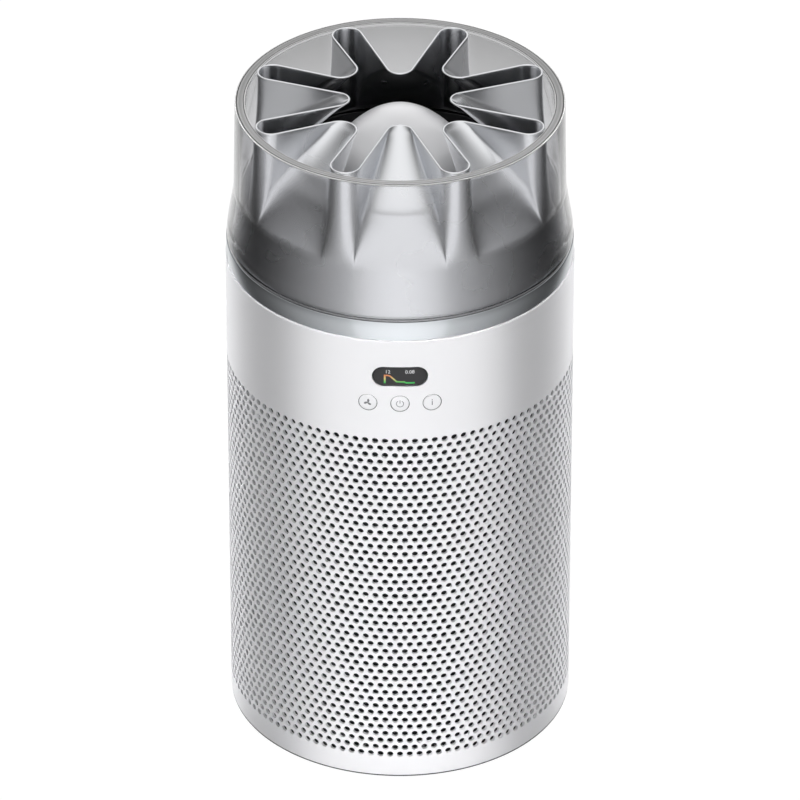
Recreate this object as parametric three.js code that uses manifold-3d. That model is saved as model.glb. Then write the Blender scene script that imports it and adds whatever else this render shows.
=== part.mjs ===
// A compact tower air purifier, in millimetres, +Z up, standing on z = 0 with its front at -Y.
// Air enters through the shroud's wall, crosses the filter inwards, rises through the inlet plate,
// is driven by a mixed-flow impeller past fixed vanes, and leaves round a nose dome through a
// star-shaped nozzle that stands inside a clear cowl.
// The base tray carries the filter. Everything else is one housing that lifts straight off them.
import * as THREE from "three";
import { mergeVertices } from "three/addons/utils/BufferGeometryUtils.js";
import Module from "manifold-3d";

const wasm = await Module();
wasm.setup();

// ---------------------------------------------------------------- clearances and resolution
const fit = 0.3; // between pieces that sit on or in one another
const slip = 0.6; // between pieces that slide past one another
const weld = 1; // how far two shapes of one moulding run into each other
const slotReach = 3; // how far a cutter runs past both faces of the shroud's wall
const roundSteps = 48; // facets round the large turned shells
const innerSteps = 32; // facets round the turned pieces inside
const boreSteps = 20; // facets round buttons, bearings and the shaft
const smallSteps = 8; // facets round pins, screws and magnets

// ---------------------------------------------------------------- outer shells
const bodyRadius = 115;
const shroudWall = 2.5;
const shroudBottom = 2;
const shroudTop = 347;
const ledgeHeight = 4; // the ring inside the shroud's foot that stands on the base tray
const ledgeClearance = 1.5; // from the filter to the ledge's bore
const bossRadius = 4.2;
const bossHeight = 12;
const bossAngles = [45, 135, 225, 315];

const trimHeight = 13.7;
const trimInset = 0.6; // the trim band is this much smaller than the body
const trimFlange = 3;
const trimBandWall = 7.9;
const trimFlangeReach = 10.5; // how far the flange reaches in from the band's bore

const cowlHeight = 99.2;
const cowlWall = 4;
const cowlFootInset = 0.9; // the cowl's foot against the body radius
const cowlFoot = { band: 2.5, bend: 9.5, taper: 0.7 }; // upright band, then the start of the shoulder
const cowlFlareTop = 35; // height of the crease above the cowl's foot
const cowlCreaseInset = 4.9; // the crease against the cowl's foot
const cowlRimInset = 6.3; // the rim against the cowl's foot
const cowlRimRound = 1.6;
const cowlLipHeight = 3;
const cowlLipWidth = 6.7;

// ---------------------------------------------------------------- star nozzle and nose
const starTop = 461.5;
const starWall = 1.5;
const starDepth = 65.5; // from the star's top edge to the shoulder where its skirt is round
const fingerGap = 0.35; // from the finger ends to the cowl's lip
const deepTipOverNose = 16.1; // how far the deep folds reach in beyond the nose's straight flank
const deepTipRound = 8.55; // folds on the X and Y axes
const shallowTip = { beyond: 13.6, round: 11 }; // folds on the diagonals, and how much farther out they are
const finger = { round: 9.7, angle: 22.7 };
const starLevels = [0, 0.18, 0.4, 0.6, 0.8, 1]; // shares of the depth at which the nozzle's wall is drawn
const foldOpening = { doneBy: 0.6, pace: 0.8, most: 0.98 }; // shares of the depth and of the straight flank
const noseFlank = 45.4; // height of the straight flank
const noseRise = 36.5; // height of the rounded nose above its straight flank
const noseWall = 2;

// ---------------------------------------------------------------- base tray and filter
const footRing = { width: 10, inset: 3.9, height: 3, sunk: 1.2 };
const trayFloor = 3;
const trayRimTop = 14;
const filterInset = 10.5; // from the shroud's inner wall to the filter
const filterBore = 61;
const capThickness = 5;
const mediaHeight = 251.6;
const mediaInset = 1;
const pleats = 60;
const pleatDepth = 9;
const carbonWall = 4.4;
const sealInner = 66;
const sealOuter = 80;
const sealHeight = 6.6;
const tab = { width: 22, thickness: 1, rise: 3, grip: 2 };
const magnet = { radius: 2.5, height: 2.8, inset: 4.4, angles: [90, 210, 330] };

// ---------------------------------------------------------------- fan and motor
const inletPlateThickness = 3;
const inletThroat = 56.5;
const inletLip = { wall: 2.5, drop: 6 };
const ductInset = 24.5; // from the shroud's inner wall to the duct's bore
const ductWall = 2.5;
const ductHeight = 67.2;
const flangeThickness = 3;
const topFlangeReach = 16; // how far the upper flange reaches out from the duct's bore
const hubRadius = 48.5;
const hubWall = 2.5;
const hubFloorHeight = 49; // top of the inlet plate to the underside of the hub's floor
const hubFloorThickness = 3;
const hubHeight = 45;
const vaneCount = 11;
const vaneWall = 2;
const vaneHeight = 12;
const vaneRingWall = 1.9;
const vaneRingGap = 0.4;
const bladeCount = 9;
const bladeWall = 2;
const bladeLean = 40; // degrees from upright
const bladeRoot = 10; // the inner edge of a blade, inside the impeller's hub
const bladeTipGap = 1.5;
const impellerRise = 6.5; // from the inlet plate to the impeller's underside
const impellerHeight = 40;
const impellerEye = 22;
const impellerHubGap = 3;
const liner = { wall: 1.5, height: 48.5, gap: 0.7 };
const shaftRadius = 2.5;
const motorPlate = { inset: 4, thickness: 3 };
const mount = { radius: 3.5, height: 3.4, at: 32, angles: [30, 150, 270] };
const bearing = { radius: 5.3, height: 4 };
const bearingTubeWall = 2.4;
const bearingTubeHeight = 22;
const coreHeight = 13;
const coreLift = 4; // from the motor's base plate to the core
const coreRadius = 23.5;
const coreSlots = 9;
const coreSlot = { width: 4, floor: 13 };
const rotorGap = 1.5;
const rotorWall = 3;
const rotorTop = 2;
const shaftTail = 1.5; // how far the shaft stands out under the impeller
const screw = { shank: 1.45, head: 2.8, headHeight: 2.2, crown: 0.9, length: 15, shortLength: 5.6 };
const trimScrewInset = 4; // from the upper flange's edge
const trimScrewAngles = [22.5, 112.5, 202.5, 292.5];

// ---------------------------------------------------------------- controls and electronics
const displayWindow = { width: 36.6, height: 15, at: 320, thickness: 2 };
const displayModule = { width: 33, height: 12.6 };
const button = { radius: 5.95, gap: 0.35, at: 299.3, spread: 10.6 };
const buttonFlange = { thickness: 1.4, lip: 1.5 };
const buttonStem = 2; // radius
const buttonNames = ["fan", "power", "info"];
const buttonProud = 0.1;
const buttonTravel = 0.8;
const stemGap = 0.1; // left between the stem and its switch at the end of the travel
const board = { inset: 8.7, thickness: 1.2, halfAngle: 20, lift: 6, height: 48 };
const carrier = { thickness: 2.4, halfAngle: 24, rib: 2.5, height: 56 };
const switchBody = { side: 6, height: 1.6, knob: 1.6, knobHeight: 0.8 };
const mainBoard = { width: 76, height: 52, thickness: 1.6, inset: 15 };
const inlet = { width: 24, height: 14, at: 310, recessWidth: 15.9, recessHeight: 9, recessDepth: 12 };
const pin = { radius: 1.2, length: 8.5, spacing: 8.6 };
const sensor = { width: 36, depth: 12, height: 28, inset: 15.5, angle: 160 };
const sensorSlot = { width: 2, height: 14, count: 4, pitch: 5 };
const ribbon = { wall: 0.8, width: 12, lift: 19, from: 250, to: 108, ease: 30, steps: 24 };

// ---------------------------------------------------------------- levels that follow from them
const shroudInner = bodyRadius - shroudWall;
const trayBottom = footRing.height - footRing.sunk;
const trayTop = trayBottom + trayFloor;
const trayRadius = shroudInner - slip;
const footRingOuter = trayRadius - footRing.inset;
const footRingInner = footRingOuter - footRing.width;
const magnetAt = trayRadius - magnet.inset;
const filterRadius = shroudInner - filterInset;
const ledgeBottom = trayRimTop + fit;
const ledgeBore = filterRadius + ledgeClearance;
const lowerCapBottom = trayTop + fit;
const mediaBottom = lowerCapBottom + capThickness + fit;
const mediaTop = mediaBottom + mediaHeight;
const upperCapBottom = mediaTop + fit;
const sealBottom = upperCapBottom + capThickness + fit;
const inletPlateBottom = sealBottom + sealHeight + fit;
const inletPlateTop = inletPlateBottom + inletPlateThickness;
const bossTop = inletPlateBottom - fit;
const bossAt = shroudInner - bossRadius + fit;
const ductBottom = inletPlateTop + fit;
const lowerFlangeTop = ductBottom + flangeThickness;
const ductTop = ductBottom + ductHeight;
const ductBore = shroudInner - ductInset;
const topFlangeRadius = ductBore + topFlangeReach;
const trimScrewAt = topFlangeRadius - trimScrewInset;
const trimFlangeBottom = ductTop + fit;
const trimFlangeTop = trimFlangeBottom + trimFlange;
const trimBottom = shroudTop + fit;
const trimTop = trimBottom + trimHeight;
const trimRadius = bodyRadius - trimInset;
const trimBandBore = trimRadius - trimBandWall;
const trimFlangeBore = trimBandBore - trimFlangeReach;
const cowlBottom = trimTop + fit;
const cowlTop = cowlBottom + cowlHeight;
const cowlFootRadius = bodyRadius - cowlFootInset;
const cowlCreaseRadius = cowlFootRadius - cowlCreaseInset;
const cowlRimRadius = cowlFootRadius - cowlRimInset;
const cowlLipBore = cowlRimRadius - cowlLipWidth;
const starShoulderRadius = cowlCreaseRadius - cowlWall - slip;
const skirtFootRadius = cowlFootRadius - cowlWall - slip;
const skirtBottom = trimTop + fit;
const fingerAt = cowlLipBore - fingerGap - starWall / 2 - finger.round;
const hubFloorBottom = inletPlateTop + hubFloorHeight;
const hubFloorTop = hubFloorBottom + hubFloorThickness;
const hubTop = hubFloorBottom + hubHeight;
const noseBottom = hubTop + fit;
const noseShoulder = noseBottom + noseFlank;
const noseApex = noseShoulder + noseRise;
const deepTipAt = hubRadius - deepTipOverNose + deepTipRound + starWall / 2;
const shallowTipAt = deepTipAt + shallowTip.beyond;
const impellerBottom = inletPlateTop + impellerRise;
const impellerTop = impellerBottom + impellerHeight;
const motorPlateBottom = hubFloorTop + mount.height + 2 * fit;
const motorPlateTop = motorPlateBottom + motorPlate.thickness;
const motorPlateRadius = hubRadius - hubWall - motorPlate.inset;
const bearingTubeBore = bearing.radius + fit;
const bearingTubeRadius = bearingTubeBore + bearingTubeWall;
const bearingTubeTop = motorPlateTop + bearingTubeHeight;
const coreBottom = motorPlateTop + coreLift;
const rotorBottom = motorPlateTop + slip;
const rotorCupTop = bearingTubeTop + slip + rotorTop;
const rotorBore = coreRadius + rotorGap;
const shaftHole = shaftRadius + rotorGap; // where the shaft passes through a fixed plate

// ---------------------------------------------------------------- finishes
function finish(color, roughness, metalness) {
  return new THREE.MeshStandardMaterial({ color, roughness, metalness });
}
const whitePlastic = finish(0xf2f2f4, 0.35, 0);
const clearPlastic = finish(0xdfe3e6, 0.05, 0);
clearPlastic.transparent = true;
clearPlastic.opacity = 0.35;
const bluegreyPlastic = finish(0x8d979c, 0.25, 0.3);
const silverPlastic = finish(0xc3c7ca, 0.2, 0.9);
const pearlPlastic = finish(0xe8e9ec, 0.3, 0.3);
const darkPlastic = finish(0x2b2d30, 0.55, 0);
const greyPlastic = finish(0x8b8f93, 0.5, 0);
const blackRubber = finish(0x1b1b1c, 0.85, 0);
const foam = finish(0x3a3a3c, 0.95, 0);
const media = finish(0xeeeee8, 0.9, 0);
const carbon = finish(0x1d1e20, 0.95, 0);
const steel = finish(0xb9bcc0, 0.35, 1);
const copper = finish(0xb06a3b, 0.4, 0.9);
const circuitBoard = finish(0x1f5a3a, 0.5, 0.1);
const blackGlass = finish(0x0b0c0d, 0.05, 0);

// ---------------------------------------------------------------- tools
const radians = THREE.MathUtils.degToRad;
const front = -90; // the polar angle of the face with the display

// A closed manifold-3d solid from any three.js geometry, with its faces turned outwards.
function solidOf(geometry) {
  const loose = geometry.index ? geometry.toNonIndexed() : geometry;
  const bare = new THREE.BufferGeometry();
  bare.setAttribute("position", loose.getAttribute("position"));
  const merged = mergeVertices(bare, 1e-4);
  const corners = [];
  const index = merged.index.array;
  for (let i = 0; i < index.length; i += 3) {
    const [a, b, c] = [index[i], index[i + 1], index[i + 2]];
    if (a !== b && b !== c && c !== a) corners.push(a, b, c);
  }
  const build = (triVerts) =>
    new wasm.Manifold(
      new wasm.Mesh({
        numProp: 3,
        vertProperties: new Float32Array(merged.attributes.position.array),
        triVerts: new Uint32Array(triVerts),
      }),
    );
  const made = build(corners);
  if (made.volume() > 0) return made;
  for (let i = 0; i < corners.length; i += 3) {
    [corners[i + 1], corners[i + 2]] = [corners[i + 2], corners[i + 1]];
  }
  return build(corners);
}

// A three.js geometry from a manifold-3d solid.
function geometryOf(solid) {
  const { numProp, numVert, vertProperties, triVerts } = solid.getMesh();
  const positions = new Float32Array(numVert * 3);
  for (let i = 0; i < numVert; i++) {
    positions.set(vertProperties.subarray(i * numProp, i * numProp + 3), i * 3);
  }
  const geometry = new THREE.BufferGeometry();
  geometry.setAttribute("position", new THREE.BufferAttribute(positions, 3));
  geometry.setIndex(new THREE.BufferAttribute(new Uint32Array(triVerts), 1));
  geometry.computeVertexNormals();
  return geometry;
}

// A solid turned about Z from [radius, z] corners. The outline closes on itself.
function turned(corners, steps = innerSteps) {
  const points = [...corners, corners[0]].map(([r, z]) => new THREE.Vector2(r, z));
  return solidOf(new THREE.LatheGeometry(points, steps).rotateX(Math.PI / 2));
}

// A plain ring or disc between two radii and two heights.
function ring(inner, outer, bottom, top, steps = innerSteps) {
  const corners = [[inner, bottom], [outer, bottom], [outer, top], [inner, top]];
  return turned(corners, steps);
}

// An upright cylinder that stands at polar place (at, angle).
function post(radius, bottom, top, at = 0, angle = 0, steps = smallSteps) {
  const geometry = new THREE.CylinderGeometry(radius, radius, top - bottom, steps);
  geometry.rotateX(Math.PI / 2).translate(at, 0, (bottom + top) / 2).rotateZ(radians(angle));
  return solidOf(geometry);
}

// A cylinder that points outwards from the Z axis, from radius near to radius far.
function spoke(radius, near, far, angle, height, steps = boreSteps) {
  const geometry = new THREE.CylinderGeometry(radius, radius, far - near, steps);
  geometry.rotateZ(-Math.PI / 2).translate((near + far) / 2, 0, height).rotateZ(radians(angle));
  return solidOf(geometry);
}

// A box between two corners, then turned about Z.
function block([x0, y0, z0], [x1, y1, z1], angle = 0) {
  const geometry = new THREE.BoxGeometry(x1 - x0, y1 - y0, z1 - z0);
  geometry.translate((x0 + x1) / 2, (y0 + y1) / 2, (z0 + z1) / 2).rotateZ(radians(angle));
  return solidOf(geometry);
}

// A flat shape raised from one height to another.
function raised(shape, bottom, top) {
  const geometry = new THREE.ExtrudeGeometry(shape, { depth: top - bottom, bevelEnabled: false });
  return solidOf(geometry.translate(0, 0, bottom));
}

// A plan view shape from a list of [x, y] points.
function planShape(points) {
  return new THREE.Shape(points.map(([x, y]) => new THREE.Vector2(x, y)));
}

function polar(radius, angle) {
  return [radius * Math.cos(radians(angle)), radius * Math.sin(radians(angle))];
}

// Part of a ring, between two polar angles.
function sector(inner, outer, bottom, top, from, to, steps = 12) {
  const angles = Array.from({ length: steps + 1 }, (_, i) => from + ((to - from) * i) / steps);
  const outside = angles.map((a) => polar(outer, a));
  const inside = angles.map((a) => polar(inner, a)).reverse();
  return raised(planShape([...outside, ...inside]), bottom, top);
}

// A pill-shaped bar along Y at the front, for the display's opening and window.
function pillBar(width, height, centre, near, far, steps = 8) {
  const round = height / 2;
  const shape = new THREE.Shape();
  shape.absarc(width / 2 - round, 0, round, -Math.PI / 2, Math.PI / 2, false);
  shape.absarc(-width / 2 + round, 0, round, Math.PI / 2, 1.5 * Math.PI, false);
  const bar = { depth: far - near, bevelEnabled: false, curveSegments: steps };
  const geometry = new THREE.ExtrudeGeometry(shape, bar);
  return solidOf(geometry.rotateX(Math.PI / 2).translate(0, -near, centre));
}

const assembly = new THREE.Group();
assembly.name = "air_purifier";

function add(name, solid, material) {
  const mesh = new THREE.Mesh(geometryOf(solid), material);
  mesh.name = name;
  assembly.add(mesh);
}

// A round-headed screw, head up, with the underside of its head at the given height.
function screwSolid(seat, length, at, angle) {
  const corners = [
    [0, seat - length],
    [screw.shank, seat - length],
    [screw.shank, seat],
    [screw.head, seat],
    [screw.head, seat + screw.headHeight - screw.crown],
    [screw.head - screw.crown, seat + screw.headHeight],
    [0, seat + screw.headHeight],
  ];
  return turned(corners, smallSteps).translate([at, 0, 0]).rotate([0, 0, angle]);
}

function screwHole(bottom, top, at, angle) {
  return post(screw.shank + fit, bottom, top, at, angle);
}

function without(solid, cutters) {
  return cutters.reduce((left, cutter) => left.subtract(cutter), solid);
}

function joined(solids) {
  return solids.reduce((whole, next) => whole.add(next));
}

// ---------------------------------------------------------------- base tray
function baseTray() {
  const grooveInner = footRingInner - fit;
  const grooveOuter = footRingOuter + fit;
  const grooveTop = footRing.height + fit;
  const rimBore = filterRadius + fit;
  const tray = turned(
    [
      [0, trayBottom],
      [grooveInner, trayBottom],
      [grooveInner, grooveTop],
      [grooveOuter, grooveTop],
      [grooveOuter, trayBottom],
      [trayRadius, trayBottom],
      [trayRadius, trayRimTop],
      [rimBore, trayRimTop],
      [rimBore, trayTop],
      [0, trayTop],
    ],
  );
  const pocketFloor = trayRimTop - magnet.height - 2 * fit;
  const pockets = magnet.angles.map((angle) =>
    post(magnet.radius + fit, pocketFloor, trayRimTop + weld, magnetAt, angle),
  );
  return without(tray, pockets);
}

add("base_tray", baseTray(), darkPlastic);
add("foot_ring", ring(footRingInner, footRingOuter, 0, footRing.height), blackRubber);
magnet.angles.forEach((angle, i) => {
  const top = trayRimTop - fit;
  add(`base_magnet_${i + 1}`, post(magnet.radius, top - magnet.height, top, magnetAt, angle), steel);
});

// ---------------------------------------------------------------- filter cartridge
function pleatedMedia() {
  const crest = filterRadius - mediaInset;
  const points = [];
  for (let i = 0; i < pleats * 2; i++) {
    points.push(polar(i % 2 ? crest - pleatDepth : crest, (i * 180) / pleats));
  }
  const shape = planShape(points);
  const sleeve = post(filterBore + carbonWall + fit, mediaBottom - weld, mediaTop + weld, 0, 0, innerSteps);
  return raised(shape, mediaBottom, mediaTop).subtract(sleeve);
}

// The tab lies on the upper cap and stands up at its inner end, so that a finger can lift the cartridge.
function pullTab() {
  const near = sealOuter + fit;
  const foot = sealBottom;
  const half = tab.width / 2;
  const far = filterRadius - fit;
  const strip = block([near, -half, foot], [far, half, foot + tab.thickness], 180);
  const grip = block([near, -half, foot], [near + tab.grip, half, foot + tab.rise], 180);
  return strip.add(grip);
}

const lowerCapTop = lowerCapBottom + capThickness;
add(
  "filter_lower_cap",
  post(filterRadius, lowerCapBottom, lowerCapTop, 0, 0, innerSteps),
  greyPlastic,
);
add("filter_media", pleatedMedia(), media);
add("carbon_sleeve", ring(filterBore, filterBore + carbonWall, mediaBottom, mediaTop), carbon);
add(
  "filter_upper_cap",
  ring(filterBore, filterRadius, upperCapBottom, upperCapBottom + capThickness),
  greyPlastic,
);
add("filter_seal", ring(sealInner, sealOuter, sealBottom, sealBottom + sealHeight), foam);
add("filter_pull_tab", pullTab(), blackRubber);

// ---------------------------------------------------------------- shroud
function shroud() {
  const tube = turned(
    [
      [shroudInner, shroudBottom],
      [bodyRadius, shroudBottom],
      [bodyRadius, shroudTop],
      [shroudInner, shroudTop],
      [shroudInner, ledgeBottom + ledgeHeight],
      [ledgeBore, ledgeBottom + ledgeHeight],
      [ledgeBore, ledgeBottom],
      [shroudInner, ledgeBottom],
    ],
    roundSteps,
  );
  const bosses = bossAngles.map((angle) => post(bossRadius, bossTop - bossHeight, bossTop, bossAt, angle));
  const near = shroudInner - slotReach;
  const far = bodyRadius + slotReach;
  const cuts = [
    pillBar(displayWindow.width, displayWindow.height, displayWindow.at, near, far),
    block(
      [-inlet.width / 2 - fit, near, inlet.at - inlet.height / 2 - fit],
      [inlet.width / 2 + fit, far, inlet.at + inlet.height / 2 + fit],
    ),
  ];
  for (const step of [-1, 0, 1]) {
    cuts.push(spoke(button.radius + button.gap, near, far, front + step * button.spread, button.at));
  }
  for (const angle of bossAngles) {
    cuts.push(screwHole(bossTop - bossHeight - weld, bossTop + weld, bossAt, angle));
  }
  for (const angle of magnet.angles) {
    const pocketTop = ledgeBottom + magnet.height + 2 * fit;
    cuts.push(post(magnet.radius + fit, ledgeBottom - weld, pocketTop, magnetAt, angle));
  }
  for (let i = 0; i < sensorSlot.count; i++) {
    const middle = (i - (sensorSlot.count - 1) / 2) * sensorSlot.pitch;
    const foot = lowerFlangeTop + (sensor.height - sensorSlot.height) / 2;
    const low = [near, middle - sensorSlot.width / 2, foot];
    const high = [far, middle + sensorSlot.width / 2, foot + sensorSlot.height];
    cuts.push(block(low, high, sensor.angle));
  }
  return without(joined([tube, ...bosses]), cuts);
}

add("shroud", shroud(), whitePlastic);
magnet.angles.forEach((angle, i) => {
  const foot = ledgeBottom + fit;
  const disc = post(magnet.radius, foot, foot + magnet.height, magnetAt, angle);
  add(`housing_magnet_${i + 1}`, disc, steel);
});

// ---------------------------------------------------------------- trim ring and clear cowl
function trimRing() {
  const band = turned(
    [
      [trimFlangeBore, trimFlangeBottom],
      [shroudInner - fit, trimFlangeBottom],
      [shroudInner - fit, trimBottom],
      [trimRadius, trimBottom],
      [trimRadius, trimTop],
      [trimBandBore, trimTop],
      [trimBandBore, trimFlangeTop],
      [trimFlangeBore, trimFlangeTop],
    ],
    roundSteps,
  );
  const holes = trimScrewAngles.map((angle) =>
    screwHole(trimFlangeBottom - weld, trimFlangeTop + weld, trimScrewAt, angle),
  );
  return without(band, holes);
}

function cowl() {
  const crease = cowlBottom + cowlFlareTop;
  const roundStart = cowlTop - cowlRimRound;
  const lipBottom = cowlTop - cowlLipHeight;
  return turned(
    [
      [cowlFootRadius - cowlWall, cowlBottom],
      [cowlFootRadius, cowlBottom],
      [cowlFootRadius, cowlBottom + cowlFoot.band],
      [cowlFootRadius - cowlFoot.taper, cowlBottom + cowlFoot.bend],
      [cowlCreaseRadius, crease],
      [cowlRimRadius, roundStart],
      [cowlRimRadius - cowlRimRound, cowlTop],
      [cowlLipBore, cowlTop],
      [cowlLipBore, lipBottom],
      [cowlRimRadius - cowlWall, lipBottom],
      [cowlCreaseRadius - cowlWall, crease],
      [cowlFootRadius - cowlFoot.taper - cowlWall, cowlBottom + cowlFoot.bend],
    ],
    roundSteps,
  );
}

add("trim_ring", trimRing(), bluegreyPlastic);
add("cowl", cowl(), clearPlastic);

// ---------------------------------------------------------------- star nozzle
// The angle at which the straight wall leaves a fold, for a fold and a finger end of given centres.
function tangentAngle([ax, ay], radiusA, [bx, by], radiusB, side) {
  const [dx, dy] = [bx - ax, by - ay];
  return Math.atan2(dy, dx) + side * Math.acos((radiusA + radiusB) / Math.hypot(dx, dy));
}

function arcPoints([cx, cy], radius, from, to, steps) {
  return Array.from({ length: steps + 1 }, (_, i) => {
    const a = from + ((to - from) * i) / steps;
    return [cx + radius * Math.cos(a), cy + radius * Math.sin(a)];
  });
}

// A fold opened out between its own straight flanks, by a share of the way to the finger's end.
function openedFold(reach, round, turn, end, opening) {
  const [x, y] = polar(reach, turn);
  const [dx, dy] = [end[0] - x, end[1] - y];
  const touch = round + finger.round;
  const apart = Math.hypot(dx, dy);
  const lean = Math.abs(Math.atan2(dy, dx) - radians(turn)) - Math.asin(touch / apart);
  const flank = Math.sqrt(apart * apart - touch * touch);
  const growth = foldOpening.most * opening * flank * Math.tan(lean);
  return { middle: polar(reach + growth / Math.sin(lean), turn), round: round + growth };
}

// The star's plan outline, offset outwards from the middle of its wall.
// One eighth is drawn from a deep fold to a shallow fold, mirrored, and turned four times.
function starOutline(offset, opening, foldSteps = 4, fingerSteps = 4) {
  const end = polar(fingerAt, finger.angle);
  const deep = openedFold(deepTipAt, deepTipRound, 0, end, opening);
  const shallow = openedFold(shallowTipAt, shallowTip.round, 45, end, opening);
  const leave = tangentAngle(deep.middle, deep.round, end, finger.round, 1);
  const arrive = tangentAngle(shallow.middle, shallow.round, end, finger.round, -1) + 2 * Math.PI;
  const eighth = [
    ...arcPoints(deep.middle, deep.round - offset, Math.PI, leave, foldSteps),
    ...arcPoints(end, finger.round + offset, leave - Math.PI, arrive - Math.PI, fingerSteps),
    ...arcPoints(shallow.middle, shallow.round - offset, arrive, 1.25 * Math.PI, foldSteps),
  ];
  const mirrored = eighth.slice(1, -1).reverse().map(([x, y]) => [y, x]);
  const quarter = [...eighth, ...mirrored];
  const whole = [];
  for (let turn = 0; turn < 4; turn++) {
    const [c, s] = [Math.cos((turn * Math.PI) / 2), Math.sin((turn * Math.PI) / 2)];
    whole.push(...quarter.map(([x, y]) => [x * c - y * s, x * s + y * c]));
  }
  return whole;
}

// The wall starts as the star. Downwards its folds open out and it swells into a round skirt.
function starNozzle() {
  const level = (inside, fall) => ({
    inside,
    opening: Math.min(fall / foldOpening.doneBy, 1) ** foldOpening.pace,
    mix: fall * fall,
    radius: starShoulderRadius - (inside ? starWall : 0),
    z: starTop - starDepth * fall - (inside ? starWall * fall : 0),
  });
  const foot = (inside) => ({
    inside,
    opening: 1,
    mix: 1,
    radius: skirtFootRadius - (inside ? starWall : 0),
    z: skirtBottom,
  });
  const section = [
    ...starLevels.map((fall) => level(false, fall)),
    foot(false),
    foot(true),
    ...starLevels.map((fall) => level(true, fall)).reverse(),
  ];
  const middles = section.map(({ opening }) => starOutline(0, opening));
  const side = (inside) => (inside ? -starWall / 2 : starWall / 2);
  const faces = section.map(({ inside, opening }) => starOutline(side(inside), opening));
  const columns = middles[0].length;
  const loop = section.map((_, i) => {
    const a = (i / section.length) * 2 * Math.PI;
    return new THREE.Vector2(2 + Math.cos(a), Math.sin(a));
  });
  const geometry = new THREE.LatheGeometry([...loop, loop[0]], columns);
  const position = geometry.getAttribute("position");
  for (let i = 0; i <= columns; i++) {
    for (let j = 0; j <= section.length; j++) {
      const row = j % section.length;
      const { mix, radius, z } = section[row];
      const column = i % columns;
      const [x, y] = faces[row][column];
      const around = Math.atan2(middles[row][column][1], middles[row][column][0]);
      position.setXYZ(
        i * (section.length + 1) + j,
        x + (radius * Math.cos(around) - x) * mix,
        y + (radius * Math.sin(around) - y) * mix,
        z,
      );
    }
  }
  return solidOf(geometry);
}

// A parabolic nose on a straight flank, open underneath.
function noseDome() {
  const steps = 6;
  const skin = (radius, apex) =>
    Array.from({ length: steps + 1 }, (_, i) => {
      const share = i / steps;
      return [radius * share, apex - noseRise * share * share];
    });
  const outside = skin(hubRadius, noseApex);
  const inside = skin(hubRadius - noseWall, noseApex - noseWall).reverse();
  return turned([...outside, [hubRadius, noseBottom], [hubRadius - noseWall, noseBottom], ...inside]);
}

function airLiner() {
  const topRadius = starShoulderRadius - starWall - liner.gap;
  const top = trimFlangeBottom + liner.height;
  return turned([
    [ductBore, trimFlangeBottom],
    [ductBore + liner.wall, trimFlangeBottom],
    [topRadius, top],
    [topRadius - liner.wall, top],
  ]);
}

// The nozzle is plated in quarters, which meet along the shallow folds.
function starQuarter(whole, angle) {
  const reach = 2 * bodyRadius;
  const apex = fit / 2 / Math.sin(radians(45));
  const plan = planShape([[apex, 0], [apex + reach, -reach], [apex + reach, reach]]);
  const wedge = raised(plan, skirtBottom - weld, starTop + weld);
  return whole.intersect(wedge.rotate([0, 0, angle]));
}

const wholeStar = starNozzle();
["right", "rear", "left", "front"].forEach((side, i) => {
  add(`star_nozzle_${side}`, starQuarter(wholeStar, i * 90), silverPlastic);
});
add("nose_dome", noseDome(), pearlPlastic);
add("air_liner", airLiner(), darkPlastic);

// ---------------------------------------------------------------- inlet plate, duct and vanes
function inletPlate() {
  const plate = turned(
    [
      [inletThroat, inletPlateBottom - inletLip.drop],
      [inletThroat + inletLip.wall, inletPlateBottom - inletLip.drop],
      [inletThroat + inletLip.wall, inletPlateBottom],
      [shroudInner - fit, inletPlateBottom],
      [shroudInner - fit, inletPlateTop],
      [inletThroat, inletPlateTop],
    ],
  );
  const holes = bossAngles.map((angle) =>
    screwHole(inletPlateBottom - weld, inletPlateTop + weld, bossAt, angle),
  );
  return without(plate, holes);
}

function fanDuct() {
  const outside = ductBore + ductWall;
  const duct = turned(
    [
      [ductBore, ductBottom],
      [shroudInner - fit, ductBottom],
      [shroudInner - fit, lowerFlangeTop],
      [outside, lowerFlangeTop],
      [outside, ductTop - flangeThickness],
      [topFlangeRadius, ductTop - flangeThickness],
      [topFlangeRadius, ductTop],
      [ductBore, ductTop],
    ],
  );
  const lower = bossAngles.map((angle) =>
    screwHole(ductBottom - weld, lowerFlangeTop + weld, bossAt, angle),
  );
  const upper = trimScrewAngles.map((angle) =>
    screwHole(ductTop - flangeThickness - weld, ductTop + weld, trimScrewAt, angle),
  );
  return without(duct, [...lower, ...upper]);
}

// The motor's cup, held in the duct by fixed vanes and an outer band that fits the duct's bore.
function vaneHub() {
  const hub = turned([
    [shaftHole, hubFloorBottom],
    [hubRadius, hubFloorBottom],
    [hubRadius, hubTop],
    [hubRadius - hubWall, hubTop],
    [hubRadius - hubWall, hubFloorTop],
    [shaftHole, hubFloorTop],
  ]);
  const ringOuter = ductBore - vaneRingGap;
  const band = ring(ringOuter - vaneRingWall, ringOuter, hubFloorBottom, hubFloorBottom + vaneHeight);
  const vanes = Array.from({ length: vaneCount }, (_, i) =>
    block(
      [hubRadius - weld, -vaneWall / 2, hubFloorBottom],
      [ringOuter - vaneRingWall + weld, vaneWall / 2, hubFloorBottom + vaneHeight],
      (i * 360) / vaneCount,
    ),
  );
  return joined([hub, band, ...vanes]);
}

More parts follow.
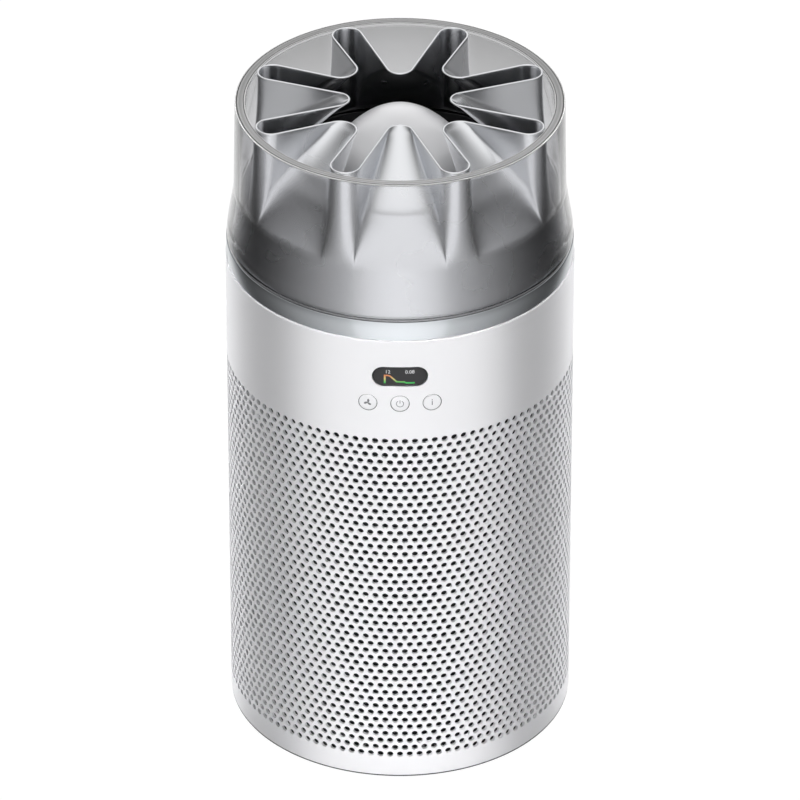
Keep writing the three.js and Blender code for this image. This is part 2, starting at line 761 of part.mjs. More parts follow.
add("inlet_plate", inletPlate(), greyPlastic);
add("fan_duct", fanDuct(), darkPlastic);
add("vane_hub", vaneHub(), darkPlastic);
bossAngles.forEach((angle, i) => {
  add(`duct_screw_${i + 1}`, screwSolid(lowerFlangeTop + fit, screw.length, bossAt, angle), steel);
});
trimScrewAngles.forEach((angle, i) => {
  const seat = trimFlangeTop + fit;
  add(`trim_screw_${i + 1}`, screwSolid(seat, screw.shortLength, trimScrewAt, angle), steel);
});

// ---------------------------------------------------------------- impeller and motor
// One blade: a flat plate that leans round its own spoke, trimmed to the height and the duct's bore.
function blade(angle) {
  const half = impellerHeight;
  const plate = block([bladeRoot, -bladeWall / 2, -half], [ductBore, bladeWall / 2, half]);
  const middle = (impellerBottom + impellerTop) / 2;
  return plate.rotate([bladeLean, 0, 0]).translate([0, 0, middle]).rotate([0, 0, angle]);
}

function impeller() {
  const bore = shaftRadius + fit;
  const topRadius = hubRadius - impellerHubGap;
  const hub = turned([
    [bore, impellerBottom],
    [impellerEye, impellerBottom],
    [topRadius, impellerTop],
    [bore, impellerTop],
  ]);
  const swept = ring(bladeRoot, ductBore - bladeTipGap, impellerBottom + weld, impellerTop - weld);
  const blades = Array.from({ length: bladeCount }, (_, i) => blade((i * 360) / bladeCount));
  return joined([hub, ...blades.map((plate) => plate.intersect(swept))]);
}

function motorBase() {
  return turned([
    [shaftHole, motorPlateBottom],
    [motorPlateRadius, motorPlateBottom],
    [motorPlateRadius, motorPlateTop],
    [bearingTubeRadius, motorPlateTop],
    [bearingTubeRadius, bearingTubeTop],
    [bearingTubeBore, bearingTubeTop],
    [bearingTubeBore, motorPlateTop],
    [shaftHole, motorPlateTop],
  ]);
}

function motorCore() {
  const core = ring(bearingTubeRadius + fit, coreRadius, coreBottom, coreBottom + coreHeight);
  const slots = Array.from({ length: coreSlots }, (_, i) =>
    block(
      [coreSlot.floor, -coreSlot.width / 2, coreBottom - weld],
      [coreRadius + weld, coreSlot.width / 2, coreBottom + coreHeight + weld],
      (i * 360) / coreSlots,
    ),
  );
  return without(core, slots);
}

function rotorCup() {
  const outside = rotorBore + rotorWall;
  return turned([
    [shaftRadius + fit, rotorCupTop - rotorTop],
    [rotorBore, rotorCupTop - rotorTop],
    [rotorBore, rotorBottom],
    [outside, rotorBottom],
    [outside, rotorCupTop],
    [shaftRadius + fit, rotorCupTop],
  ]);
}

const bearingRing = (bottom) =>
  ring(shaftRadius + fit, bearing.radius, bottom, bottom + bearing.height, boreSteps);

add("motor_base", motorBase(), greyPlastic);
add("motor_core", motorCore(), copper);
add("lower_bearing", bearingRing(motorPlateTop + fit), steel);
add("upper_bearing", bearingRing(bearingTubeTop - bearing.height), steel);
mount.angles.forEach((angle, i) => {
  const foot = hubFloorTop + fit;
  add(`motor_mount_${i + 1}`, post(mount.radius, foot, foot + mount.height, mount.at, angle), blackRubber);
});
add("impeller", impeller(), darkPlastic);
add("motor_shaft", post(shaftRadius, impellerBottom - shaftTail, rotorCupTop, 0, 0, boreSteps), steel);
add("rotor_cup", rotorCup(), steel);

// ---------------------------------------------------------------- display and buttons
const windowSkin = ring(
  bodyRadius - displayWindow.thickness,
  bodyRadius,
  displayWindow.at - displayWindow.height,
  displayWindow.at + displayWindow.height,
  roundSteps,
);
const windowBar = pillBar(
  displayWindow.width - 2 * fit,
  displayWindow.height - 2 * fit,
  displayWindow.at,
  shroudInner - weld,
  bodyRadius + weld,
);
add("display_window", windowSkin.intersect(windowBar), blackGlass);
const boardInner = shroudInner - board.inset;
const boardOuter = boardInner + board.thickness;
const moduleReach = shroudInner - slip;
const moduleFront = Math.sqrt(moduleReach ** 2 - (displayModule.width / 2) ** 2);
add(
  "display_module",
  block(
    [-displayModule.width / 2, -moduleFront, displayWindow.at - displayModule.height / 2],
    [displayModule.width / 2, -boardOuter - fit, displayWindow.at + displayModule.height / 2],
  ),
  darkPlastic,
);

const switchTop = boardOuter + fit + switchBody.height + switchBody.knobHeight;
const flangeOuter = shroudInner - slip;

function pushButton(angle) {
  const flangeInner = flangeOuter - buttonFlange.thickness;
  const flangeRadius = button.radius + button.gap + buttonFlange.lip;
  const cap = spoke(button.radius, flangeInner + fit, bodyRadius + buttonProud, angle, button.at);
  const flange = spoke(flangeRadius, flangeInner, flangeOuter, angle, button.at);
  const stemEnd = switchTop + buttonTravel + stemGap;
  const stem = spoke(buttonStem, stemEnd, flangeInner + fit, angle, button.at, smallSteps);
  return joined([cap, flange, stem]);
}

function tactSwitch(angle) {
  const half = switchBody.side / 2;
  const foot = boardOuter + fit;
  const body = block(
    [foot, -half, button.at - half],
    [foot + switchBody.height, half, button.at + half],
    angle,
  );
  const knob = spoke(switchBody.knob, foot, switchTop, angle, button.at, smallSteps);
  return body.add(knob);
}

buttonNames.forEach((name, i) => {
  const angle = front + (i - 1) * button.spread;
  add(`button_${name}`, pushButton(angle), whitePlastic);
  add(`switch_${name}`, tactSwitch(angle), darkPlastic);
});

const carrierBottom = lowerFlangeTop + fit;

function controlCarrier() {
  const outer = boardInner - fit;
  const inner = outer - carrier.thickness;
  const top = carrierBottom + carrier.height;
  const [from, to] = [front - carrier.halfAngle, front + carrier.halfAngle];
  const sheet = sector(inner, outer, carrierBottom, top, from, to);
  const ribs = [-1, 1].map((side) => {
    const shift = side > 0 ? -weld : weld - carrier.rib;
    const low = [inner, shift, carrierBottom];
    return block(low, [shroudInner - slip, shift + carrier.rib, top], front + side * carrier.halfAngle);
  });
  return joined([sheet, ...ribs]);
}

function controlBoard() {
  const bottom = carrierBottom + board.lift;
  const [from, to] = [front - board.halfAngle, front + board.halfAngle];
  return sector(boardInner, boardOuter, bottom, bottom + board.height, from, to);
}

add("control_board", controlBoard(), circuitBoard);
add("control_carrier", controlCarrier(), greyPlastic);

// ---------------------------------------------------------------- power inlet, main board, sensor
const mainBoardBottom = lowerFlangeTop + fit;
const mainBoardInner = shroudInner - mainBoard.inset;
const mainBoardOuter = mainBoardInner + mainBoard.thickness;
const inletBack = mainBoardOuter + fit;
const inletFace = bodyRadius + buttonProud;
const recessFloor = inletFace - inlet.recessDepth;

function powerInlet() {
  const halfWidth = inlet.width / 2;
  const halfHeight = inlet.height / 2;
  const body = block(
    [-halfWidth, inletBack, inlet.at - halfHeight],
    [halfWidth, inletFace, inlet.at + halfHeight],
  );
  const recess = block(
    [-inlet.recessWidth / 2, recessFloor, inlet.at - inlet.recessHeight / 2],
    [inlet.recessWidth / 2, inletFace + weld, inlet.at + inlet.recessHeight / 2],
  );
  return body.subtract(recess);
}

add(
  "main_board",
  block(
    [-mainBoard.width / 2, mainBoardInner, mainBoardBottom],
    [mainBoard.width / 2, mainBoardOuter, mainBoardBottom + mainBoard.height],
  ),
  circuitBoard,
);
add("power_inlet", powerInlet(), darkPlastic);
[-1, 1].forEach((side, i) => {
  const near = recessFloor + fit;
  const contact = spoke(pin.radius, near, near + pin.length, 90, inlet.at, smallSteps);
  add(`inlet_pin_${i + 1}`, contact.translate([(side * pin.spacing) / 2, 0, 0]), steel);
});
const sensorInner = shroudInner - sensor.inset;
add(
  "air_sensor",
  block(
    [sensorInner, -sensor.width / 2, lowerFlangeTop + fit],
    [sensorInner + sensor.depth, sensor.width / 2, lowerFlangeTop + fit + sensor.height],
    sensor.angle,
  ),
  darkPlastic,
);

// A flat cable that hugs the duct and rises off it at both ends, to lie on the carrier and the board.
function ribbonCable() {
  const rest = ductBore + ductWall + fit;
  const onCarrier = boardInner - carrier.thickness - 2 * fit - ribbon.wall;
  const onBoard = (mainBoardInner - fit) / Math.sin(radians(ribbon.to)) - ribbon.wall;
  const rise = (angle, from) => 1 - THREE.MathUtils.smoothstep(Math.abs(angle - from), 0, ribbon.ease);
  const hug = (angle) =>
    rest + (onCarrier - rest) * rise(angle, ribbon.from) + (onBoard - rest) * rise(angle, ribbon.to);
  const sweep = (ribbon.to - ribbon.from) / ribbon.steps;
  const angles = Array.from({ length: ribbon.steps + 1 }, (_, i) => ribbon.from + sweep * i);
  const outside = angles.map((a) => polar(hug(a) + ribbon.wall, a));
  const inside = angles.map((a) => polar(hug(a), a)).reverse();
  const bottom = lowerFlangeTop + ribbon.lift;
  return raised(planShape([...outside, ...inside]), bottom, bottom + ribbon.width);
}

add("ribbon_cable", ribbonCable(), greyPlastic);

export default assembly;
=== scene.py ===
# %% [markdown]
# # A cylindrical air purifier
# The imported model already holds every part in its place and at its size. This file keeps that frame
# as it is, puts finer pieces where a faceted one would show, and gives every surface a finish.
# Everything is in metres, the purifier stands on height 0, and its display faces -Y.

from functools import partialmethod
from math import acos, asin, atan2, copysign, cos, pi, radians, sin, sqrt, tan

import bmesh
import bpy
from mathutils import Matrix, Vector


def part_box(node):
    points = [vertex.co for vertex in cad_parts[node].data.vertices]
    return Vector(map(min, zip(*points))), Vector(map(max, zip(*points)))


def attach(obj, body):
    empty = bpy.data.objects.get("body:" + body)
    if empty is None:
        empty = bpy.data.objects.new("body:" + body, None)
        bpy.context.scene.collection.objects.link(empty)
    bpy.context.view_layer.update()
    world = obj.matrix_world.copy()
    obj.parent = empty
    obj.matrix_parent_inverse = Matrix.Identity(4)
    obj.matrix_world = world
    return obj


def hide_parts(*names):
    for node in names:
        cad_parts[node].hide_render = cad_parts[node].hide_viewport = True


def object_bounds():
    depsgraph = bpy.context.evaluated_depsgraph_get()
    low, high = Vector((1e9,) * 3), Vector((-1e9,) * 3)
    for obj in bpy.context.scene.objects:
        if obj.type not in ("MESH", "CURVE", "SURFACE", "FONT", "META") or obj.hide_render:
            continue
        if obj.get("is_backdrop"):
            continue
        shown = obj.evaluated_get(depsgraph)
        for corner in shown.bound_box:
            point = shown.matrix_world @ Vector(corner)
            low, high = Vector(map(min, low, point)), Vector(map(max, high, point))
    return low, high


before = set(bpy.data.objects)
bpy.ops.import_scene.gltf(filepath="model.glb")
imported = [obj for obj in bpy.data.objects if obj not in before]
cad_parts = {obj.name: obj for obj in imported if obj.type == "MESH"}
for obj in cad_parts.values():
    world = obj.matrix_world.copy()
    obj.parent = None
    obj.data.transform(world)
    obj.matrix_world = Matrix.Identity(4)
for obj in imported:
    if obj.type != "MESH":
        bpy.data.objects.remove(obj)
cad_low, cad_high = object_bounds()
MM = 0.001
scene = bpy.context.scene
print("frame of", len(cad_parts), "nodes, height", round(cad_high.z, 4), "m")


# %% [markdown]
# ## Helpers for shapes
# Most of the outside is turned, as if on a lathe, so one helper spins an outline of (radius, height)
# corners about the axis. A moulded edge is never razor sharp, so a corner may carry a third number,
# the radius in mm that rounds it. Angles run from the front, where the display is, towards +X.

# %% Points, meshes and the way their faces look
def mm(*sizes):
    return [size * MM for size in sizes]


def around(radius, angle, height):
    return Vector((radius * sin(angle), -radius * cos(angle), height))


def smoothed(mesh, sharp=35):
    mesh.shade_smooth()
    mesh.set_sharp_from_angle(angle=radians(sharp))
    return mesh


def mesh_from(name, points, faces, sharp=35):
    mesh = bpy.data.meshes.new(name)
    mesh.from_pydata([tuple(p) for p in points], [], faces)
    mesh.validate()
    return smoothed(mesh, sharp)


def facing_out(mesh):
    """Points every face of a closed mesh outwards."""
    shape = bmesh.new()
    shape.from_mesh(mesh)
    bmesh.ops.recalc_face_normals(shape, faces=shape.faces)
    if shape.calc_volume(signed=True) < 0:
        bmesh.ops.reverse_faces(shape, faces=shape.faces)
    shape.to_mesh(mesh)
    shape.free()
    return mesh


def bands(count, rings, closed=False):
    """The faces between neighbouring rings of points, each ring a closed loop."""
    faces = []
    for j in range(rings if closed else rings - 1):
        here, there = j * count, (j + 1) % rings * count
        for i in range(count):
            n = (i + 1) % count
            faces.append((here + i, here + n, there + n, there + i))
    return faces


def skinned(name, rings, ends, middles=(), closed=False, sharp=35):
    """A closed mesh over rings of points, with the faces that close its two ends."""
    points = [point for ring in rings for point in ring] + list(middles)
    return facing_out(mesh_from(name, points, ends + bands(len(rings[0]), len(rings), closed), sharp))


# %% Rounded outlines and turned solids
TURN_STEPS = 220
FILLET_STEPS = 4
LONGEST_FILLET = 0.48


def softened(corners):
    """The outline with an arc at every corner that carries a rounding radius."""
    made = []
    for i, corner in enumerate(corners):
        point = Vector(corner[:2])
        if len(corner) < 3:
            made.append(tuple(point))
            continue
        back = Vector(corners[i - 1][:2]) - point
        ahead = Vector(corners[(i + 1) % len(corners)][:2]) - point
        half = back.angle(ahead) / 2
        most = back.length * LONGEST_FILLET, ahead.length * LONGEST_FILLET
        reach = min(corner[2] * MM / tan(half), *most)
        centre = point + (back.normalized() + ahead.normalized()).normalized() * reach / cos(half)
        first = point + back.normalized() * reach - centre
        last = point + ahead.normalized() * reach - centre
        turn = first.angle(last)
        for k in range(FILLET_STEPS + 1):
            t = k / FILLET_STEPS
            arm = first * sin((1 - t) * turn) + last * sin(t * turn)
            made.append(tuple(centre + arm / sin(turn)))
    return made


def turned(name, corners, steps=TURN_STEPS, sharp=35):
    """A solid of revolution. The outline runs anticlockwise with the axis on its left."""
    points, rings, faces = [], [], []
    for radius, height in softened(corners):
        count = 1 if radius < 1e-7 else steps
        rings.append([len(points) + i for i in range(count)])
        points += [around(radius, 2 * pi * i / steps, height) for i in range(count)]
    for j, here in enumerate(rings):
        there = rings[(j + 1) % len(rings)]
        if len(here) == 1 and len(there) == 1:
            continue
        for i in range(steps):
            n = (i + 1) % steps
            if len(here) == 1:
                faces.append((here[0], there[n], there[i]))
            elif len(there) == 1:
                faces.append((here[i], here[n], there[0]))
            else:
                faces.append((here[i], here[n], there[n], there[i]))
    return mesh_from(name, points, faces, sharp)


# %% [markdown]
# ## Helpers for pieces
# A piece is a mesh with one finish. It rides on the body that carries the real part, and it may stand
# in for imported nodes. Where Geometry Nodes make a shape, the modifier's result becomes a plain mesh
# first, and the modifier is gone before the piece rides.

# %% Make a piece, or a mesh from a node tree
replaced = set()


def linked(name, data):
    made = bpy.data.objects.new(name, data)
    scene.collection.objects.link(made)
    return made


def piece(name, mesh, body, material, slot, *nodes):
    mesh.materials.clear()
    mesh.materials.append(material)
    made = linked(name, mesh)
    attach(made, body)
    if nodes:
        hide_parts(*nodes)
        replaced.update(nodes)
    print(name, len(mesh.polygons), "faces")


def turned_piece(name, corners, material, slot, node, body="housing", **shape):
    piece(name, turned(name, corners, **shape), body, material, slot, node)


def evaluated_mesh(holder, name):
    graph = bpy.context.evaluated_depsgraph_get()
    result = bpy.data.meshes.new_from_object(holder.evaluated_get(graph))
    result.name = name
    bpy.data.objects.remove(holder)
    return result


def mesh_by_nodes(name, tree, base=None, **values):
    """Runs a geometry tree on an empty or given mesh, with its named inputs set."""
    holder = linked(name + "_holder", base or bpy.data.meshes.new(name))
    modifier = holder.modifiers.new("rule", "NODES")
    modifier.node_group = tree
    for socket in tree.interface.items_tree:
        key = socket.name.replace(" ", "_")
        if socket.in_out == "INPUT" and key in values:
            modifier[socket.identifier] = values[key]
    return evaluated_mesh(holder, name)


# %% [markdown]
# ## Helpers for node trees
# A tree is easier to read when a node is made and wired in one line: its type, its settings, and what
# goes into each socket. The same helper serves geometry trees and materials. A group's input is
# listed with its default value, which tells its kind, or with the name of its kind.

# %% Add a node with its inputs
class Wiring:
    def __init__(self, tree):
        self.tree = tree

    def node(self, kind, settings=None, family="ShaderNode", **inputs):
        made = self.tree.nodes.new(family + kind)
        for key, value in (settings or {}).items():
            setattr(made, key, value)
        return self.wire(made, **inputs)

    def geo(self, kind, **inputs):
        return self.node(kind, family="GeometryNode", **inputs)

    def wire(self, node, **inputs):
        for key, value in inputs.items():
            place = int(key[1:]) if key[1:].isdigit() else key.replace("_", " ")
            self.join(value, node.inputs[place])
        return node

    def join(self, value, socket):
        sources = value if isinstance(value, list) else [value]
        for source in sources:
            if isinstance(source, bpy.types.Node):
                source = next(s for s in source.outputs if s.enabled)
            if isinstance(source, bpy.types.NodeSocket):
                self.tree.links.new(source, socket)
            else:
                socket.default_value = source

    def math(self, operation, a, b=0.0):
        return self.node("Math", {"operation": operation}, i0=a, i1=b)

    plus = partialmethod(math, "ADD")
    minus = partialmethod(math, "SUBTRACT")
    times = partialmethod(math, "MULTIPLY")
    over = partialmethod(math, "DIVIDE")

    def split(self, vector):
        """The three parts of a vector."""
        return self.node("SeparateXYZ", Vector=vector).outputs

    def ramp(self, value, stops):
        """A colour ramp through stops of (position, grey level or colour)."""
        made = self.node("ValToRGB", Fac=value)
        elements = made.color_ramp.elements
        for spot, _ in stops[1:-1]:
            elements.new(spot)
        for stop, (spot, level) in zip(elements, stops):
            color = level if isinstance(level, tuple) else (level, level, level)
            stop.position, stop.color = spot, (*color, 1.0)
        return made


SOCKET_KINDS = {float: "Float", int: "Int", tuple: "Color"}


def new_tree(name, kind, inputs, outputs):
    tree = bpy.data.node_groups.new(name, kind)
    for label, value in inputs.items():
        named = isinstance(value, str)
        sort = "NodeSocket" + (value if named else SOCKET_KINDS[type(value)])
        made = tree.interface.new_socket(label, in_out="INPUT", socket_type=sort)
        if not named:
            made.default_value = value
    for label, value in outputs.items():
        tree.interface.new_socket(label, in_out="OUTPUT", socket_type="NodeSocket" + value)
    w = Wiring(tree)
    return tree, w, w.node("GroupInput", family="Node").outputs, w.node("GroupOutput", family="Node")


def geometry_tree(name, inputs):
    inputs = {"Geometry": "Geometry", **inputs, "Material": "Material"}
    return new_tree(name, "GeometryNodeTree", inputs, {"Geometry": "Geometry"})


def close_tree(w, given, out, geometry):
    """Ends a geometry tree with plain geometry in the given material."""
    solid = w.geo("RealizeInstances", Geometry=geometry)
    w.wire(out, Geometry=w.geo("SetMaterial", Geometry=solid, Material=given["Material"]))


# %% [markdown]
# ## Finishes
# Moulded plastic is never one flat value. The tool leaves a very fine texture, and handling leaves
# the gloss a little uneven. One shader group makes both, and every plastic, rubber and coated metal
# places it with its own scale and strength.

# %% The shared grain group
CLOUD_SCALE = 18.0
BUMP_HEIGHT = 0.0002


def grain_group():
    tree, w, given, out = new_tree(
        "moulded grain",
        "ShaderNodeTree",
        {"Scale": 2500.0, "Roughness": 0.35, "Unevenness": 0.05, "Color": (0.8, 0.8, 0.8, 1.0), "Tint": 0.03},
        {"Color": "Color", "Roughness": "Float", "Height": "Float"},
    )
    place = w.node("TexCoord").outputs["Object"]
    grain = w.node("TexNoise", Vector=place, Scale=given["Scale"], Detail=2.0)
    cloud = w.node("TexNoise", Vector=place, Scale=CLOUD_SCALE, Detail=3.0)
    centred = w.minus(cloud.outputs["Fac"], 0.5)
    shift = w.times(centred, given["Unevenness"])
    dim = w.math("MULTIPLY_ADD", centred, given["Tint"])
    w.wire(dim, i2=1.0)
    scaled = w.node("VectorMath", {"operation": "SCALE"}, i0=given["Color"], i3=dim)
    rough = w.plus(given["Roughness"], shift)
    w.wire(out, Roughness=rough, Height=grain.outputs["Fac"], Color=scaled)
    return tree


GRAIN = grain_group()


def new_material(name):
    material = bpy.data.materials.new(name)
    material.use_nodes = True
    return material, Wiring(material.node_tree), material.node_tree.nodes["Principled BSDF"]


def finish(name, color, roughness, metallic=0.0, scale=2500.0, uneven=0.05, tint=0.03, bump=0.02):
    """A material whose colour, gloss and height come from the grain group."""
    material, w, shader = new_material(name)
    material.diffuse_color = (*color, 1.0)
    grain = w.node("Group", {"node_tree": GRAIN}, Scale=scale, Roughness=roughness)
    w.wire(grain, Unevenness=uneven, Color=(*color, 1.0), Tint=tint)
    made = grain.outputs
    height = w.node("Bump", Strength=bump, Distance=BUMP_HEIGHT, Height=made["Height"])
    w.wire(shader, Base_Color=made["Color"], Roughness=made["Roughness"], Normal=height, Metallic=metallic)
    return material


white_shell = finish("satin_white_plastic", (0.86, 0.86, 0.88), 0.38, bump=0.03)
white_button = finish("white_button_plastic", (0.84, 0.84, 0.86), 0.32)
blue_grey = finish("blue_grey_trim", (0.69, 0.72, 0.75), 0.15, metallic=1.0, uneven=0.03, bump=0.0)
silver = finish("satin_silver", (0.79, 0.80, 0.82), 0.27, metallic=1.0, uneven=0.04, bump=0.0)
pearl = finish("pearl_white", (0.86, 0.86, 0.875), 0.30, bump=0.01)
black_plastic = finish("black_plastic", (0.012, 0.012, 0.013), 0.5)
dark_grey = finish("dark_grey_plastic", (0.035, 0.036, 0.038), 0.5)
grey_plastic = finish("grey_plastic", (0.22, 0.225, 0.23), 0.5)
black_rubber = finish("black_rubber", (0.02, 0.02, 0.02), 0.85, scale=900.0, bump=0.15)
foam = finish("closed_cell_foam", (0.03, 0.03, 0.032), 0.95, scale=1400.0, tint=0.4, bump=0.5)
# The filter paper is painted near black: painted shade seen through the shroud's holes.
paper_painted_shade = finish("filter_paper", (0.045, 0.046, 0.05), 0.9, scale=1800.0, tint=0.12, bump=0.3)
fleece = finish("carbon_fleece", (0.015, 0.015, 0.017), 0.95, scale=700.0, tint=0.6, bump=0.8)
steel = finish("plain_steel", (0.55, 0.56, 0.57), 0.3, metallic=1.0)
copper = finish("wound_copper", (0.62, 0.30, 0.15), 0.35, metallic=1.0, scale=500.0, bump=0.4)
board_green = finish("circuit_board_green", (0.02, 0.12, 0.06), 0.4, scale=300.0, tint=0.5)
symbol_grey = finish("printed_grey", (0.16, 0.16, 0.17), 0.5)
black_glass = finish("black_window_glass", (0.006, 0.006, 0.007), 0.06, uneven=0.02, bump=0.0)
print(len(bpy.data.materials), "materials so far")

# %% [markdown]
# ## Clear plastic
# The cowl is a thick clear moulding with a faint smoke tint. It refracts, so it is real glass to the
# renderer, but light reaches the star behind it through two curved skins, which a path tracer finds
# only slowly. So for shadow rays the same wall is simply a pale filter. Its flat top would gather the
# light that runs inside the wall, which is also slow to find, so there a thin lip carries painted
# highlights and painted dark lines in place of that light, following the rounded corners.

# %% The clear cowl's material
def clear_material():
    material, w, shader = new_material("clear_smoke_plastic")
    w.wire(shader, Base_Color=(0.93, 0.93, 0.94, 1.0), Roughness=0.0, IOR=1.2, Transmission_Weight=1.0)
    w.wire(shader, Coat_Weight=1.0, Coat_IOR=1.49, Coat_Roughness=0.02)
    filtered = w.node("BsdfTransparent", Color=(0.80, 0.81, 0.82, 1.0))
    shadow = w.node("LightPath").outputs["Is Shadow Ray"]
    mixed = w.node("MixShader", i0=shadow, i1=shader, i2=filtered)
    w.wire(material.node_tree.nodes["Material Output"], Surface=mixed)
    return material


# Painted light on the lip: grey levels across it, the bright ones painted highlights and the dark ones
# painted dark lines.
LIP_PAINTED_LIGHT = [
    (0.0, 0.80), (0.07, 0.80), (0.10, 0.05), (0.15, 0.05), (0.20, 0.42), (0.50, 0.30), (0.72, 0.46),
    (0.78, 0.03), (0.86, 0.03), (0.90, 0.92), (1.0, 0.92),
]
LIP_ALPHA = 0.8


def lip_material(inner, outer):
    """The painted highlights and dark lines go by the distance from the axis, as a share of the way across
    the lip.
    """
    material = finish("polished_lip", (0.8, 0.8, 0.8), 0.12, uneven=0.04, bump=0.0)
    w, shader = Wiring(material.node_tree), material.node_tree.nodes["Principled BSDF"]
    axis = w.split(w.node("TexCoord").outputs["Object"])
    flat = w.node("CombineXYZ", X=axis["X"], Y=axis["Y"])
    reach = w.node("VectorMath", {"operation": "LENGTH"}, i0=flat)
    across = w.over(w.minus(reach, inner), outer - inner)
    w.wire(shader, Base_Color=w.ramp(across, LIP_PAINTED_LIGHT), Alpha=LIP_ALPHA)
    return material


clear_smoke = clear_material()

# %% [markdown]
# ## The perforated wall
# The shroud's wall is pierced by rows of round holes, each row shifted by half a pitch. Nobody would
# model five thousand holes one by one. A geometry tree makes one flat cell with its hole, copies it
# over a grid, gives the sheet its thickness, and rolls it into the cylinder. The cell's border
# has a point at each corner and each middle, so that a shifted row still meets its neighbour point to
# point. The pierced sheet is thinner than the plain collar above it, and it is made in two halves to
# keep each mesh light.

# %% The perforated wall's sizes
shroud_low, shroud_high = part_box("shroud")
BODY_RADIUS = shroud_high.x
SHROUD_WALL, GRILLE_WALL = 2.5 * MM, 2.0 * MM
HOLES_PER_TURN, HOLE_ROWS = 110, 46
HOLE_RADIUS, HOLE_SIDES = 2.2 * MM, 12
ROW_PITCH, FIRST_ROW = 5.55 * MM, 20.2 * MM
HOLE_PITCH = 2 * pi * BODY_RADIUS / HOLES_PER_TURN
SHEET_WELD = 1e-5
grille_bottom = FIRST_ROW - ROW_PITCH / 2
grille_top = grille_bottom + HOLE_ROWS * ROW_PITCH
print("hole pitch", round(HOLE_PITCH / MM, 2), "mm, top of the holes", round(grille_top / MM, 1), "mm")


# %% The perforated wall's tree
def perforated_tree():
    inputs = {
        "Radius": 0.1, "Wall": 0.002, "Hole Pitch": 0.006, "Row Pitch": 0.005, "Hole Radius": 0.002,
        "Hole Sides": 12, "Holes": 10, "Rows": 10, "First Hole": 0, "First Row": 0.0,
    }
    tree, w, g, out = geometry_tree("perforated wall", inputs)
    border = w.geo("CurvePrimitiveQuadrilateral", Width=g["Hole Pitch"], Height=g["Row Pitch"])
    border = w.geo("SubdivideCurve", Curve=border, Cuts=1)
    hole = w.geo("CurvePrimitiveCircle", Resolution=g["Hole Sides"], Radius=g["Hole Radius"])
    both = w.geo("JoinGeometry", Geometry=[border, hole])
    cell = w.geo("FillCurve", Curve=both)
    count = w.times(g["Holes"], g["Rows"])
    index = w.geo("InputIndex")
    row = w.math("FLOOR", w.over(w.plus(index, 0.5), g["Holes"]))
    column = w.minus(index, w.times(row, g["Holes"]))
    column = w.plus(column, g["First Hole"])
    shifted = w.plus(column, w.times(w.math("MODULO", row, 2.0), 0.5))
    across = w.times(shifted, g["Hole Pitch"])
    spot = w.node("CombineXYZ", X=across, Y=w.times(row, g["Row Pitch"]))
    spots = w.geo("Points", Count=count, Position=spot)
    grid = w.geo("InstanceOnPoints", Points=spots, Instance=cell)
    grid = w.geo("RealizeInstances", Geometry=grid)
    sheet = w.geo("MergeByDistance", Geometry=grid, Distance=SHEET_WELD)
    wall = w.geo("ExtrudeMesh", Mesh=sheet, Offset_Scale=g["Wall"], Individual=False)
    back = w.geo("FlipFaces", Mesh=sheet)
    plate = w.geo("JoinGeometry", Geometry=[wall, back])
    plate = w.geo("MergeByDistance", Geometry=plate, Distance=SHEET_WELD)
    flat = w.split(w.geo("InputPosition"))
    turn = w.over(flat["X"], g["Radius"])
    inner = w.minus(g["Radius"], g["Wall"])
    reach = w.plus(inner, flat["Z"])
    rolled = w.node(
        "CombineXYZ",
        X=w.times(reach, w.math("SINE", turn)),
        Y=w.times(w.times(reach, w.math("COSINE", turn)), -1.0),
        Z=w.plus(flat["Y"], g["First Row"]),
    )
    close_tree(w, g, out, w.geo("SetPosition", Geometry=plate, Position=rolled))
    return tree


# %% The two halves of the perforated wall
perforated = perforated_tree()
half_turn = HOLES_PER_TURN // 2
for name, first in (("front", -(half_turn // 2)), ("rear", half_turn - half_turn // 2)):
    name = "shroud_grille_" + name
    half = mesh_by_nodes(
        name, perforated, Radius=BODY_RADIUS, Wall=GRILLE_WALL, Hole_Pitch=HOLE_PITCH, Row_Pitch=ROW_PITCH,
        Hole_Radius=HOLE_RADIUS, Hole_Sides=HOLE_SIDES, Holes=half_turn, Rows=HOLE_ROWS, First_Hole=first,
        First_Row=FIRST_ROW, Material=white_shell,
    )
    piece(name, smoothed(half), "housing", white_shell, "white_shell", "shroud")

# %% [markdown]
# ## The plain ends of the shroud
# Above the holes a plain collar carries the display and the buttons, and below them a plain band
# stands round the base. The collar is a turned ring with its openings cut out by booleans. A boolean
# leaves odd face shapes, so the outer wall is told the exact normals of a cylinder, and it shades as
# one smooth surface right up to the edge of each opening.

# %% Outlines and cutters
def ring_section(bore, outer, bottom, top, *edges):
    """The four corners of a ring's section, from inside below, and the rounding of each."""
    corners = [(bore, bottom), (outer, bottom), (outer, top), (bore, top)]
    return [(*corner, edge) if edge else corner for corner, edge in zip(corners, edges)]


def flat_face(turn, middle):
    """Maps (across, up, distance from the axis) to an upright plane at that turn from the front."""
    side = Vector((cos(turn), sin(turn), 0.0))
    out = Vector((sin(turn), -cos(turn), 0.0))
    return lambda x, y, d: side * x + out * d + Vector((0.0, 0.0, middle + y))


def prism(name, outline, near, far, turn=0.0):
    """A cutter from an (across, height) outline, between two distances from the axis."""
    place, count = flat_face(turn, 0.0), len(outline)
    rings = [[place(x, z, d) for x, z in outline] for d in (near, far)]
    return skinned(name, rings, [tuple(range(count - 1, -1, -1)), tuple(range(count, 2 * count))])


def pill_outline(width, height, middle, steps=24):
    end = height / 2
    half = width / 2 - end
    made = []
    for side in (1, -1):
        for i in range(steps + 1):
            a = -pi / 2 + pi * i / steps
            made.append((side * (half + end * cos(a)), middle + side * end * sin(a)))
    return made


def circle_outline(radius, middle, steps=48):
    turns = [2 * pi * i / steps for i in range(steps)]
    return [(radius * cos(a), middle + radius * sin(a)) for a in turns]


